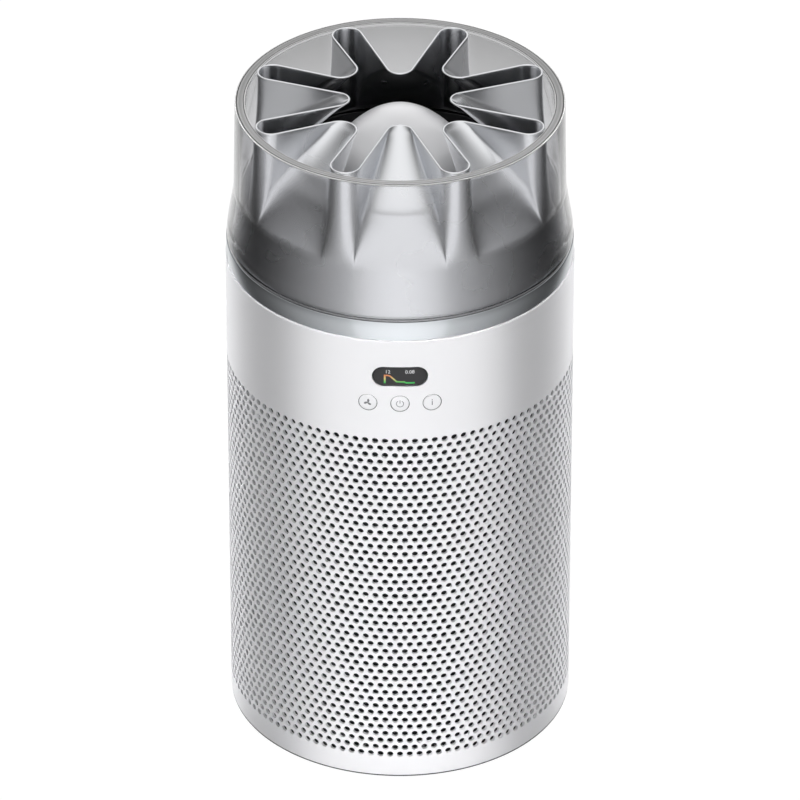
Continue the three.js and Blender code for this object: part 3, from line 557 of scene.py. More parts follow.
def box_outline(width, height, middle, corner, steps=4):
    made = []
    for sx, sz, start in ((1, -1, -90), (1, 1, 0), (-1, 1, 90), (-1, -1, 180)):
        cx, cz = sx * (width / 2 - corner), middle + sz * (height / 2 - corner)
        for i in range(steps + 1):
            a = radians(start + 90 * i / steps)
            made.append((cx + corner * cos(a), cz + corner * sin(a)))
    return made


def cut(mesh, cutters):
    """Cuts closed meshes out of a mesh, one after another."""
    holder = linked("cut_holder", mesh)
    tools = [linked("cutter", cutter) for cutter in cutters]
    for tool in tools:
        made = holder.modifiers.new("cut", "BOOLEAN")
        made.operation, made.solver, made.object = "DIFFERENCE", "EXACT", tool
    result = evaluated_mesh(holder, mesh.name)
    for tool in tools:
        bpy.data.objects.remove(tool)
    return result


UPRIGHT = 0.985


def outward(spot):
    return Vector((spot.x, spot.y, 0.0)).normalized()


def cylinder_normals(mesh):
    """Lets the walls of a turned piece shade as a true cylinder, whatever their faces look like."""
    smoothed(mesh, 30)
    wanted = []
    for face in mesh.polygons:
        facing = face.normal.dot(outward(face.center))
        for corner in face.loop_indices:
            spot = mesh.vertices[mesh.loops[corner].vertex_index].co
            straight = outward(spot) * copysign(1, facing)
            wanted.append(straight if abs(facing) > UPRIGHT else Vector((0.0, 0.0, 0.0)))
    mesh.normals_split_custom_set(wanted)
    return mesh


# %% The collar with its openings
window_low, window_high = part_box("display_window")
WINDOW_GAP, WINDOW_WIDTH = 0.3 * MM, 36.6 * MM
window_middle = (window_low.z + window_high.z) / 2
window_height = window_high.z - window_low.z + 2 * WINDOW_GAP
button_middle = {}
for name in ("button_fan", "button_power", "button_info"):
    low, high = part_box(name)
    button_middle[name] = (low + high) / 2
button_turn = {name: atan2(p.x, -p.y) for name, p in button_middle.items()}
BUTTON_RADIUS, BUTTON_GAP = 5.85 * MM, 0.45 * MM
inlet_low, inlet_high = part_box("power_inlet")
inlet_size = inlet_high - inlet_low
INLET_GAP, INLET_CORNER = 0.3 * MM, 1.2 * MM
sensor_low, sensor_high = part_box("air_sensor")
sensor_middle = (sensor_low + sensor_high) / 2
sensor_turn = atan2(sensor_middle.x, -sensor_middle.y)
SENSOR_SLOTS, SLOT_PITCH, SLOT_WIDTH, SLOT_HEIGHT = 4, 5 * MM, 2 * MM, 14 * MM
SLOT_END = 0.49
CUT_REACH = 4 * MM
inner_radius = BODY_RADIUS - SHROUD_WALL
near, far = inner_radius - CUT_REACH, BODY_RADIUS + CUT_REACH

cutters = [prism("window_cut", pill_outline(WINDOW_WIDTH, window_height, window_middle), near, far)]
for name, turn in button_turn.items():
    outline = circle_outline(BUTTON_RADIUS + BUTTON_GAP, button_middle[name].z)
    cutters.append(prism(name + "_cut", outline, near, far, turn))
opening = inlet_size.x + 2 * INLET_GAP, inlet_size.z + 2 * INLET_GAP
outline = box_outline(*opening, (inlet_low.z + inlet_high.z) / 2, INLET_CORNER)
cutters.append(prism("inlet_cut", outline, near, far, pi))
for i in range(SENSOR_SLOTS):
    offset = (i - (SENSOR_SLOTS - 1) / 2) * SLOT_PITCH / BODY_RADIUS
    outline = box_outline(SLOT_WIDTH, SLOT_HEIGHT, sensor_middle.z, SLOT_WIDTH * SLOT_END)
    cutters.append(prism("sensor_cut", outline, near, far, sensor_turn + offset))
section = ring_section(inner_radius, BODY_RADIUS, grille_top, shroud_high.z, 0, 0, 0.5, 0.5)
collar = cylinder_normals(cut(turned("shroud_collar", section), cutters))
piece("shroud_collar", collar, "housing", white_shell, "white_shell", "shroud")

# %% The foot band, and a painted shadow line at its foot
# The lowest 1.1 mm of the shroud is dark grey: painted shade, a shadow line where the body meets the floor.
EDGE_HEIGHT, EDGE_STEP = 1.1 * MM, 0.1 * MM
edge_top = shroud_low.z + EDGE_HEIGHT
section = ring_section(inner_radius, BODY_RADIUS - EDGE_STEP, shroud_low.z, edge_top, 0.3, 0.5, 0, 0)
turned_piece("shroud_foot_edge", section, dark_grey, "white_shell", "shroud")
section = ring_section(inner_radius, BODY_RADIUS, edge_top, grille_bottom, 0.1, 0.3, 0, 0)
turned_piece("shroud_foot_band", section, white_shell, "white_shell", "shroud")

# %% [markdown]
# ## The trim ring and the clear cowl
# A glossy blue-grey band closes the joint between the white shroud and the cowl. The cowl stands on
# it: an upright foot, a shoulder that draws in to a crease, a barely tapered wall, and a broad rounded
# rim that reaches in to the star. Both are turned, and so is the thin lip on the rim.

# %% Trim ring and cowl
trim_low, trim_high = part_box("trim_ring")
TRIM_LIP, TRIM_BORE = 13.7 * MM, 106.5 * MM
FLANGE_BORE, FLANGE_DEPTH, FLANGE_GAP = mm(96, 3, 0.3)
trim_edge = trim_high.z - TRIM_LIP
section = ring_section(TRIM_BORE, trim_high.x, trim_edge, trim_high.z, 0, 0.4, 0.7, 0)
turned_piece("trim_band", section, blue_grey, "blue_grey_trim", "trim_ring")
flange = [
    (FLANGE_BORE, trim_low.z),
    (inner_radius - FLANGE_GAP, trim_low.z),
    (inner_radius - FLANGE_GAP, trim_edge),
    (TRIM_BORE, trim_edge),
    (TRIM_BORE, trim_low.z + FLANGE_DEPTH),
    (FLANGE_BORE, trim_low.z + FLANGE_DEPTH),
]
turned_piece("trim_flange", flange, dark_grey, "blue_grey_trim", "trim_ring", steps=96)

cowl_low, cowl_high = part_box("cowl")
cowl_foot = cowl_high.x
COWL_WALL, FOOT_HEIGHT = 4 * MM, 2.5 * MM
SHOULDER_DRAW, SHOULDER_RISE, SHOULDER_ARC = 0.7 * MM, 9.5 * MM, 10
CREASE_RADIUS, CREASE_RISE = 109.2 * MM, 35 * MM
RIM_RADIUS = 107.8 * MM
LIP_BORE, LIP_HEIGHT = 101.1 * MM, 3 * MM
LIP_SKIN, SKIN_GAP = 0.7 * MM, 0.05 * MM
crease = cowl_low.z + CREASE_RISE
shoulder = cowl_low.z + SHOULDER_RISE
cowl_top = cowl_high.z - LIP_SKIN - SKIN_GAP
lip_low = cowl_high.z - LIP_HEIGHT
cowl = [
    (cowl_foot - COWL_WALL, cowl_low.z, 0.3),
    (cowl_foot, cowl_low.z, 0.5),
    (cowl_foot, cowl_low.z + FOOT_HEIGHT, 3),
    (cowl_foot - SHOULDER_DRAW, shoulder, SHOULDER_ARC),
    (CREASE_RADIUS, crease, 0.4),
    (RIM_RADIUS, cowl_top, 0.1),
    (LIP_BORE, cowl_top, 0.1),
    (LIP_BORE, lip_low, 0.4),
    (RIM_RADIUS - COWL_WALL, lip_low, 1.5),
    (CREASE_RADIUS - COWL_WALL, crease, 0.4),
    (cowl_foot - SHOULDER_DRAW - COWL_WALL, shoulder, SHOULDER_ARC),
]
turned_piece("clear_cowl", cowl, clear_smoke, "clear_cowl", "cowl", sharp=30)
# The lip's colour is painted light: painted highlights and dark lines that follow its rounded corners.
polished_lip = lip_material(LIP_BORE, RIM_RADIUS)
section = ring_section(LIP_BORE, RIM_RADIUS, cowl_top + SKIN_GAP, cowl_high.z, 0.1, 0.1, 0.6, 0.5)
turned_piece("cowl_lip", section, polished_lip, "clear_cowl", "cowl", sharp=30)

# %% [markdown]
# ## The star nozzle
# One folded wall guides the air out between eight arms. Each fold and each arm's end is an arc, and
# the straight walls between are tangents common to two arcs, so the whole star follows from three
# circles. An eighth of it is made here. On the way down its folds open out, and the wall swells until
# it meets a round skirt. A geometry tree then mirrors the eighth and turns it four times, because
# everything that repeats is easier to trust when only one copy is drawn.

# %% The outline of an eighth
DEEP_FOLD = (41.7 * MM, 8.55 * MM)
SHALLOW_FOLD = (55.3 * MM, 11.0 * MM)
ARM_END = (90.3 * MM, 9.7 * MM)
ARM_TURN = radians(22.7)
STAR_WALL, STAR_EDGE = 1.5 * MM, 0.6 * MM
FOLD_STEPS, FLANK_STEPS, ARM_STEPS = 16, 8, 26
QUARTERS = [f"star_nozzle_{side}" for side in ("right", "rear", "left", "front")]
star_corners = [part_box(name) for name in QUARTERS]
star_low = Vector(min(box[0][i] for box in star_corners) for i in range(3))
star_high = Vector(max(box[1][i] for box in star_corners) for i in range(3))


def tangent(first, first_radius, last, last_radius, side):
    gap = last - first
    return atan2(gap.y, gap.x) + side * acos((first_radius + last_radius) / gap.length)


def arc(centre, radius, start, end, steps):
    angles = [start + (end - start) * i / steps for i in range(steps + 1)]
    return [centre + Vector((cos(a), sin(a))) * radius for a in angles]


# The most of a straight flank that a fold may take up as it opens, so that some is always left.
WIDEST = 0.98


def widened(fold, turn, arm, opening):
    """The middle and radius of a fold opened out between its flanks, by a share of the way to the arm."""
    along = Vector((cos(turn), sin(turn)))
    reach, radius = fold
    gap = arm - along * reach
    touch = radius + ARM_END[1]
    lean = abs(along.angle_signed(gap)) - asin(touch / gap.length)
    flank = sqrt(gap.length_squared - touch * touch)
    growth = WIDEST * opening * flank * tan(lean)
    return along * (reach + growth / sin(lean)), radius + growth


def eighth_outline(offset, opening):
    """From the middle of a deep fold, round an arm's end, to the middle of a shallow fold."""
    arm = Vector((cos(ARM_TURN), sin(ARM_TURN))) * ARM_END[0]
    deep, deep_radius = widened(DEEP_FOLD, 0.0, arm, opening)
    shallow, shallow_radius = widened(SHALLOW_FOLD, radians(45), arm, opening)
    leave = tangent(deep, deep_radius, arm, ARM_END[1], 1)
    arrive = tangent(shallow, shallow_radius, arm, ARM_END[1], -1) + 2 * pi
    fold_in = arc(deep, deep_radius - offset, pi, leave, FOLD_STEPS)
    round_arm = arc(arm, ARM_END[1] + offset, leave - pi, arrive - pi, ARM_STEPS)
    fold_out = arc(shallow, shallow_radius - offset, arrive, 1.25 * pi, FOLD_STEPS)

    def run(start, end):
        return [start.lerp(end, i / FLANK_STEPS) for i in range(1, FLANK_STEPS)]

    return fold_in + run(fold_in[-1], round_arm[0]) + round_arm + run(round_arm[-1], fold_out[0]) + fold_out


# %% The wall's section, from one face over the top edge to the other and down to the skirt
SHOULDER_DROP, SHOULDER_RADIUS = 65.5 * MM, 104.6 * MM
OPENED_BY, OPENING_PACE = 0.6, 0.8
WALL_LEVELS, SKIRT_LEVELS, CROWN_STEPS = 26, 8, 8


def wall_section():
    """For each level: side from -1 inside to 1 outside, folds' opening, share to round, radius, height."""

    def face(side):
        drop = 0.5 * (1 - side) * STAR_WALL
        made = []
        for i in range(WALL_LEVELS + 1):
            fall = i / WALL_LEVELS
            height = star_high.z - max(SHOULDER_DROP * fall, STAR_EDGE) - drop * fall
            opening = min(fall / OPENED_BY, 1.0) ** OPENING_PACE
            made.append((side, opening, fall * fall, SHOULDER_RADIUS - drop, height))
        start = SHOULDER_RADIUS - drop
        foot = star_high.x - drop
        top = star_high.z - SHOULDER_DROP - drop
        for i in range(1, SKIRT_LEVELS + 1):
            t = i / SKIRT_LEVELS
            made.append((side, 1.0, 1.0, start + (foot - start) * t, top + (star_low.z - top) * t))
        return made

    edge_middle = star_high.z - STAR_EDGE
    crown = [
        (cos(a), 0.0, 0.0, SHOULDER_RADIUS, edge_middle + STAR_EDGE * sin(a))
        for a in (pi * i / CROWN_STEPS for i in range(1, CROWN_STEPS))
    ]
    return face(-1)[::-1] + crown[::-1] + face(1)


def star_eighth():
    section = wall_section()
    points, faces = [], []
    for side, opening, share, radius, height in section:
        middle = eighth_outline(0.0, opening)
        for spot, centre in zip(eighth_outline(side * STAR_WALL / 2, opening), middle):
            flat = spot.lerp(centre.normalized() * radius, share)
            points.append((flat.x, flat.y, height))
    across = len(middle)
    for j in range(len(section)):
        k = (j + 1) % len(section)
        for i in range(across - 1):
            faces.append((j * across + i, j * across + i + 1, k * across + i + 1, k * across + i))
    return mesh_from("star_eighth", points, faces)


# %% Mirror the eighth and turn it
STAR_WELD = 2e-5


def star_tree():
    tree, w, g, out = geometry_tree("mirror and turn", {"Turns": 4})
    own = w.split(w.geo("InputPosition"))
    swapped = w.node("CombineXYZ", X=own["Y"], Y=own["X"], Z=own["Z"])
    mirror = w.geo("SetPosition", Geometry=g["Geometry"], Position=swapped)
    mirror = w.geo("FlipFaces", Mesh=mirror)
    quarter = w.geo("JoinGeometry", Geometry=[g["Geometry"], mirror])
    spots = w.geo("Points", Count=g["Turns"], Position=(0.0, 0.0, 0.0))
    step = w.over(2 * pi, g["Turns"])
    turn = w.node("CombineXYZ", Z=w.times(w.geo("InputIndex"), step))
    whole = w.geo("InstanceOnPoints", Points=spots, Instance=quarter, Rotation=turn)
    whole = w.geo("RealizeInstances", Geometry=whole)
    close_tree(w, g, out, w.geo("MergeByDistance", Geometry=whole, Distance=STAR_WELD))
    return tree


star = mesh_by_nodes("star_wall", star_tree(), star_eighth(), Turns=4, Material=silver)
piece("star_wall", smoothed(facing_out(star), 50), "housing", silver, "silver_star", *QUARTERS)

# %% [markdown]
# ## The nose dome
# The pearl-white nose in the middle of the star smooths the air as it leaves. Its outline is a
# parabola above a straight flank, so the turned profile is only a formula.

# %% Nose dome
nose_low, nose_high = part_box("nose_dome")
NOSE_DROP, NOSE_WALL, NOSE_STEPS = 36.5 * MM, 2 * MM, 28


def nose_skin(radius, apex):
    shares = [i / NOSE_STEPS for i in range(NOSE_STEPS + 1)]
    return [(radius * share, apex - NOSE_DROP * share**2) for share in shares]


nose_bore = nose_high.x - NOSE_WALL
inside = nose_skin(nose_bore, nose_high.z - NOSE_WALL)
outside = nose_skin(nose_high.x, nose_high.z)
nose = inside + [(nose_bore, nose_low.z), (nose_high.x, nose_low.z)] + outside[::-1]
turned_piece("nose_shell", nose, pearl, "pearl_nose", "nose_dome", steps=128)

# %% [markdown]
# ## The display
# A curved black window closes a pill-shaped opening, and a small bar, a trace and two plain readings
# shine through it. The window is a stack of rings from its rounded edge to its middle, rolled onto the
# body's cylinder. The lit marks are thin shapes on the same curve. The bar and the trace have a
# glowing finish whose colour runs from green at low readings to orange at high ones.

# %% The window
def rolled(x, y, d):
    """Maps (across, up, distance from the axis) onto the body's cylinder."""
    return around(d, x / BODY_RADIUS, y)


def stacked(name, place, outline, levels, sharp=40):
    """A closed cap from (scale of the outline, distance from the axis) rings and two middle points."""
    count = len(outline)
    cx = sum(p[0] for p in outline) / count
    cy = sum(p[1] for p in outline) / count
    rings = [[place(cx + (x - cx) * s, cy + (y - cy) * s, d) for x, y in outline] for s, d in levels]
    top, ends = count * len(levels), []
    for i in range(count):
        n = (i + 1) % count
        ends += [(top - count + i, top - count + n, top), (n, i, top + 1)]
    return skinned(name, rings, ends, [place(cx, cy, levels[end][1]) for end in (-1, 0)], sharp=sharp)


WINDOW_LEVELS = [(1.0, 2.0), (1.0, 0.35), (0.985, 0.1)]
WINDOW_LEVELS += [(1.0 - share, 0.02) for share in (0.04, 0.2, 0.4, 0.6, 0.8)]
glass_size = WINDOW_WIDTH - 2 * WINDOW_GAP, window_height - 2 * WINDOW_GAP
window_outline = pill_outline(*glass_size, window_middle, steps=32)
levels = [(scale, BODY_RADIUS - depth * MM) for scale, depth in WINDOW_LEVELS]
window = stacked("display_glass", rolled, window_outline, levels, 60)
piece("display_glass", window, "housing", black_glass, "black_glass", "display_window")


# %% The lit marks
GLOW_STOPS = [(0.0, (0.03, 0.62, 0.10)), (0.55, (0.80, 0.66, 0.25)), (1.0, (0.85, 0.28, 0.10))]
GREEN_BELOW, ORANGE_ABOVE = 4.2 * MM, 0.8 * MM
MARK_DEPTH, MARK_SKIN, DIGIT_DEPTH, DIGIT_SKIN = mm(0.04, 0.05, 0.01, 0.02)
LEAST_COSINE = 0.5


def glow_material(name, grey, strength, light=None):
    """A light of one colour, or else green low down and orange high up on the display."""
    material, w, shader = new_material(name)
    if light is None:
        height = w.split(w.node("TexCoord").outputs["Object"])["Z"]
        share = w.node("MapRange", Value=height)
        w.wire(share, From_Min=window_middle - GREEN_BELOW, From_Max=window_middle + ORANGE_ABOVE)
        light = w.ramp(share, GLOW_STOPS)
    w.wire(shader, Base_Color=(grey, grey, grey, 1.0), Emission_Color=light, Emission_Strength=strength)
    return material


def strip_mesh(name, path, width):
    """A thin strip of even width along a path of (across, height) points, on the body's cylinder."""
    path = [Vector(p) for p in path]
    sides = []
    for i, spot in enumerate(path):
        back = (spot - path[i - 1]).normalized() if i else None
        ahead = (path[i + 1] - spot).normalized() if i < len(path) - 1 else None
        along = ((back or ahead) + (ahead or back)).normalized()
        across = Vector((-along.y, along.x))
        stretch = 1 / max(LEAST_COSINE, along.dot(ahead or back))
        sides.append((spot + across * width / 2 * stretch, spot - across * width / 2 * stretch))
    under = BODY_RADIUS - MARK_DEPTH
    points = [rolled(p.x, p.y, reach) for reach in (under, under + MARK_SKIN) for pair in sides for p in pair]
    faces = []
    count = 2 * len(path)
    for a in range(0, count - 2, 2):
        b, c, d = a + 1, a + 3, a + 2
        faces += [(a, b, c, d), (count + d, count + c, count + b, count + a)]
        faces += [(a, d, count + d, count + a), (c, b, count + b, count + c)]
    faces += [(1, 0, count, count + 1), (count - 2, count - 1, 2 * count - 1, 2 * count - 2)]
    return facing_out(mesh_from(name, points, faces))


def number_mesh(name, words, size, across, height):
    """Plain numerals, laid on the body's cylinder."""
    text = bpy.data.curves.new(name, "FONT")
    text.body, text.size, text.align_x, text.extrude = words, size, "CENTER", DIGIT_SKIN
    mesh = evaluated_mesh(linked(name, text), name)
    for vertex in mesh.vertices:
        x, y, depth = vertex.co
        vertex.co = rolled(across + x, height + y, BODY_RADIUS - DIGIT_DEPTH + depth)
    return mesh


glow = glow_material("display_glow", 0.02, 0.8)
white_glow = glow_material("display_white", 0.05, 0.75, (0.9, 0.9, 0.92, 1.0))
BAR_ACROSS, BAR_BOTTOM, BAR_STEP, BAR_WIDTH = -9.9, -4.9, 1.28, 1.2
bar_path = [(BAR_ACROSS, BAR_BOTTOM + i * BAR_STEP) for i in range(6)]
TRACE_WIDTH = 1.0
trace_path = [
    (-9.2, 1.1), (-7.6, 1.0), (-6.4, 0.5), (-4.2, -1.6), (-2.2, -3.6), (0.4, -3.8), (2.6, -3.8),
    (4.0, -4.5), (6.8, -4.6), (9.6, -4.6),
]
for name, path, width in (("bar", bar_path, BAR_WIDTH), ("trace", trace_path, TRACE_WIDTH)):
    name = "display_" + name
    path = [(x * MM, window_middle + z * MM) for x, z in path]
    piece(name, strip_mesh(name, path, width * MM), "housing", glow, "black_glass")
DIGIT_SIZE, DIGIT_RISE = 3.6 * MM, 2.6 * MM
for name, words, across in (("display_reading", "12", -8.0), ("display_level", "0.08", 6.4)):
    digits = number_mesh(name, words, DIGIT_SIZE, across * MM, window_middle + DIGIT_RISE)
    piece(name, digits, "housing", white_glow, "black_glass")

# %% [markdown]
# ## The buttons
# Each button is a flat white cap with a rounded edge, and a symbol is printed on it: fan blades, a
# power ring and an information mark. Behind the cap a flange keeps it from falling out, and a stem
# reaches its switch. A dark ring in the gap round each cap is painted shade, darkening the gap. The
# symbols are thin raised shapes, so that they stay crisp at any distance.

# %% Shapes for caps and symbols
BUTTON_STEPS, ARC_STEPS, BLADE_STEPS, BLADES = 64, 40, 20, 3
BLADE_WIDTH, BLADE_LENGTH, BLADE_LEAN, BLADE_REACH = 0.75, 1.25, 0.35, 1.45
HUB_SHARE, DOT_SHARE, DOT_RISE = 0.1, 0.07, 1.95 * MM
RING_RADIUS, LINE_WIDTH, RING_OPENING = 2.35, 0.42, 32
MARK_LEVELS = [(1.0, BODY_RADIUS - 0.1 * MM), (1.0, BODY_RADIUS + 0.05 * MM)]


def joined(name, meshes):
    shape = bmesh.new()
    for mesh in meshes:
        shape.from_mesh(mesh)
    whole = bpy.data.meshes.new(name)
    shape.to_mesh(whole)
    shape.free()
    return smoothed(whole, 40)


def resized(outline, share, lift=0.0):
    return [(x * share, y * share + lift) for x, y in outline]


def upright_bar(width, low, high):
    """The outline of a bar on the button's upright middle line, from sizes in mm."""
    corners = [(-width / 2, low), (width / 2, low), (width / 2, high), (-width / 2, high)]
    return [(x * MM, y * MM) for x, y in corners]


def arc_band(radius, width, start, end):
    """The outline of a curved band as one loop, outer run first, from sizes in mm and degrees."""
    turns = [radians(start + (end - start) * i / ARC_STEPS) for i in range(ARC_STEPS + 1)]
    outer, inner = radius + width / 2, radius - width / 2
    runs = [(outer, a) for a in turns] + [(inner, a) for a in reversed(turns)]
    return [(r * MM * sin(a), r * MM * cos(a)) for r, a in runs]


def blade_outline(turn):
    """One fan blade: a leaf that leans round the centre."""
    c, s = cos(turn), sin(turn)
    made = []
    for i in range(BLADE_STEPS):
        a = 2 * pi * i / BLADE_STEPS
        x = (BLADE_WIDTH * cos(a) + BLADE_LEAN) * MM
        y = (BLADE_LENGTH * sin(a) + BLADE_REACH) * MM
        made.append((x * c - y * s, x * s + y * c))
    return made


def band_prism(name, place, outline, levels):
    """A prism over a curved band, filled between its outer and inner runs."""
    count, ends = len(outline), []
    for a in range(count // 2 - 1):
        b, c, d = a + 1, count - 2 - a, count - 1 - a
        ends += [(a, b, c, d), (count + d, count + c, count + b, count + a)]
    return skinned(name, [[place(x, y, d) for x, y in outline] for _, d in levels], ends)


def gap_shade_ring(name, place, inner, outer, near, far):
    """A flat ring between two radii and two distances from the axis."""
    corners = (inner, near), (outer, near), (outer, far), (inner, far)
    rings = [[place(x, y, d) for x, y in circle_outline(r, 0.0, BUTTON_STEPS)] for r, d in corners]
    return skinned(name, rings, [], closed=True)


def symbol_marks(name, place, disc):
    if name == "button_fan":
        outlines = [blade_outline(2 * pi * i / BLADES) for i in range(BLADES)]
        outlines.append(resized(disc, HUB_SHARE))
    elif name == "button_power":
        outlines = [upright_bar(LINE_WIDTH, 0.3, 2.75)]
    else:
        outlines = [resized(disc, DOT_SHARE, DOT_RISE), upright_bar(0.6, -2.1, 0.95)]
    marks = [stacked("mark", place, outline, MARK_LEVELS) for outline in outlines]
    if name == "button_power":
        ring = arc_band(RING_RADIUS, LINE_WIDTH, RING_OPENING, 360 - RING_OPENING)
        marks.insert(0, band_prism("ring", place, ring, MARK_LEVELS))
    return marks


# %% Caps, painted gap shade and symbols
# The dark ring sits just below the surface in the gap round each cap: it is painted shade.
GAP_SHADE_DEPTH, GAP_SHADE_CLEAR, GAP_SHADE_TUCK, GAP_SHADE_BACK = mm(0.4, 0.06, 0.02, 0.5)
STEM_SHARE, FLANGE_SHARE = 0.34, 1.33
CAP_LEVELS = [(1.0, inner_radius - 1.2 * MM), (1.0, BODY_RADIUS - 0.45 * MM)]
CAP_LEVELS += [(0.985, BODY_RADIUS - 0.12 * MM), (0.95, BODY_RADIUS), (0.6, BODY_RADIUS), (0.3, BODY_RADIUS)]
FLANGE_LEVELS = [(1.0, inner_radius - 2.0 * MM), (1.0, inner_radius - 0.6 * MM)]
STEM_LEVELS = [(1.0, 108.6 * MM), (1.0, inner_radius - 1.9 * MM)]
gap_shade_radii = BUTTON_RADIUS + GAP_SHADE_CLEAR, BUTTON_RADIUS + BUTTON_GAP - GAP_SHADE_TUCK
gap_shade_reach = inner_radius + GAP_SHADE_BACK, BODY_RADIUS - GAP_SHADE_DEPTH
disc = circle_outline(BUTTON_RADIUS, 0.0, BUTTON_STEPS)
for name, turn in button_turn.items():
    place = flat_face(turn, button_middle[name].z)
    gap_shade, cap, symbol = (name + end for end in ("_seal", "_cap", "_symbol"))
    # Painted shade in the gap round the cap.
    ring = gap_shade_ring(gap_shade, place, *gap_shade_radii, *gap_shade_reach)
    piece(gap_shade, ring, "housing", dark_grey, "blue_grey_trim")
    parts = [
        stacked("cap", place, disc, CAP_LEVELS),
        stacked("flange", place, resized(disc, FLANGE_SHARE), FLANGE_LEVELS),
        stacked("stem", place, resized(disc, STEM_SHARE), STEM_LEVELS),
    ]
    piece(cap, joined(cap, parts), cap, white_button, "white_button", name)
    marks = joined(symbol, symbol_marks(name, place, disc))
    piece(symbol, marks, cap, symbol_grey, "white_button")

# %% [markdown]
# ## The filter and the base
# When the housing lifts off, the filter cartridge stands in its tray. The paper is folded into many
# narrow pleats, held between two end caps, and it is painted near black: painted shade for the
# shroud's holes. A geometry tree pulls three of every four points of a ring inwards, fills the folded
# ring, and raises it to its height.

# %% The pleats
PLEAT_WELD = 1e-6


def pleat_tree():
    inputs = {"Radius": 0.1, "Depth": 0.02, "Pleats": 150, "Bottom": 0.0, "Height": 0.1}
    tree, w, g, out = geometry_tree("pleated wall", inputs)
    sides = w.times(g["Pleats"], 4.0)
    ring = w.geo("CurvePrimitiveCircle", Resolution=sides, Radius=g["Radius"])
    step = w.math("MODULO", w.geo("InputIndex"), 4.0)
    valley = w.wire(w.math("COMPARE", step, 2.0), i2=1.1)
    drawn = w.times(valley, w.over(g["Depth"], g["Radius"]))
    place = w.geo("InputPosition")
    level = w.minus(1.0, drawn)
    spot = w.node("VectorMath", {"operation": "SCALE"}, i0=place, i3=level)
    folded = w.geo("SetPosition", Geometry=ring, Position=spot)
    flat = w.geo("FillCurve", Curve=folded)
    lift = w.node("CombineXYZ", Z=g["Bottom"])
    moved = w.geo("Transform", Geometry=flat, Translation=lift)
    solid = w.geo("ExtrudeMesh", Mesh=moved, Offset_Scale=g["Height"], Individual=False)
    back = w.geo("FlipFaces", Mesh=moved)
    whole = w.geo("JoinGeometry", Geometry=[solid, back])
    close_tree(w, g, out, w.geo("MergeByDistance", Geometry=whole, Distance=PLEAT_WELD))
    return tree


media_low, media_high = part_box("filter_media")
PLEATS, PLEAT_DEPTH = 150, 9 * MM
pleats = mesh_by_nodes(
    "filter_pleats", pleat_tree(), Radius=media_high.x, Depth=PLEAT_DEPTH, Pleats=PLEATS,
    Bottom=media_low.z, Height=media_high.z - media_low.z, Material=paper_painted_shade,
)
piece("filter_pleats", facing_out(pleats), "base", paper_painted_shade, "filter_paper", "filter_media")

# %% Turned pieces of the cartridge and the base
# Each is a plain ring or disc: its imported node, its name, its finish, its slot, and then its bore and
# the rounding of its edges in mm.
PLAIN_RINGS = (
    ("filter_lower_cap", "filter_foot_cap", grey_plastic, "grey_plastic", 0, 1.2),
    ("filter_upper_cap", "filter_head_cap", grey_plastic, "grey_plastic", 61, 1.2),
    ("filter_seal", "filter_seal_ring", foam, "seal_foam", 66, 1.5),
    ("carbon_sleeve", "carbon_wrap", fleece, "carbon", 61, 0.4),
    ("foot_ring", "rubber_foot", black_rubber, "black_rubber", 98, 0.8),
)
for node, name, material, slot, bore, edge in PLAIN_RINGS:
    low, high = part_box(node)
    inner_edge = edge if bore else 0
    section = ring_section(bore * MM, high.x, low.z, high.z, inner_edge, edge, edge, inner_edge)
    turned_piece(name, section, material, slot, node, "base", steps=128)

tray_low, tray_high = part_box("base_tray")
foot_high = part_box("foot_ring")[1]
TRAY_FLOOR, TRAY_GAP, GROOVE_BORE, GROOVE_GAP = mm(3, 1.3, 97.7, 0.3)
tray_bore, tray_floor = media_high.x + TRAY_GAP, tray_low.z + TRAY_FLOOR
groove_outer, groove_top = foot_high.x + GROOVE_GAP, foot_high.z + GROOVE_GAP
tray = [
    (0.0, tray_low.z),
    (GROOVE_BORE, tray_low.z, 0.3),
    (GROOVE_BORE, groove_top),
    (groove_outer, groove_top),
    (groove_outer, tray_low.z, 0.3),
    (tray_high.x, tray_low.z, 0.6),
    (tray_high.x, tray_high.z, 0.8),
    (tray_bore, tray_high.z, 0.8),
    (tray_bore, tray_floor, 0.4),
    (0.0, tray_floor),
]
turned_piece("tray_dish", tray, black_plastic, "black_plastic", "base_tray", "base", steps=160)

# %% [markdown]
# ## Finishes for the parts that stay
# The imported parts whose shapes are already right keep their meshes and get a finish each. A packed
# mesh is faceted on purpose, so only its material changes here. What isn't listed is steel.

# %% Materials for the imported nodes
KEPT = (
    (black_plastic, "air_liner impeller air_sensor power_inlet display_module"),
    (black_plastic, "switch_fan switch_power switch_info"),
    (dark_grey, "fan_duct vane_hub inlet_plate"),
    (grey_plastic, "motor_base control_carrier ribbon_cable"),
    (copper, "motor_core"),
    (board_green, "control_board main_board"),
    (black_rubber, "filter_pull_tab motor_mount_1 motor_mount_2 motor_mount_3"),
)
NODE_FINISH = {name: material for material, names in KEPT for name in names.split()}
for name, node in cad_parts.items():
    if name not in replaced:
        node.data.materials.clear()
        node.data.materials.append(NODE_FINISH.get(name, steel))
print(len(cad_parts) - len(replaced), "packed nodes keep their meshes")

# %% [markdown]
# ## Studio
# The purifier stands on a plain pale floor in a white studio. A soft lamp from above and a narrow beam
# in front light it, with a lamp and a beam on each side behind. The world stands for the panels and
# dark flags that a glossy part mirrors: bright in front, fairly bright behind, bright overhead, and
# dark at the sides, which gives metal its contrast.

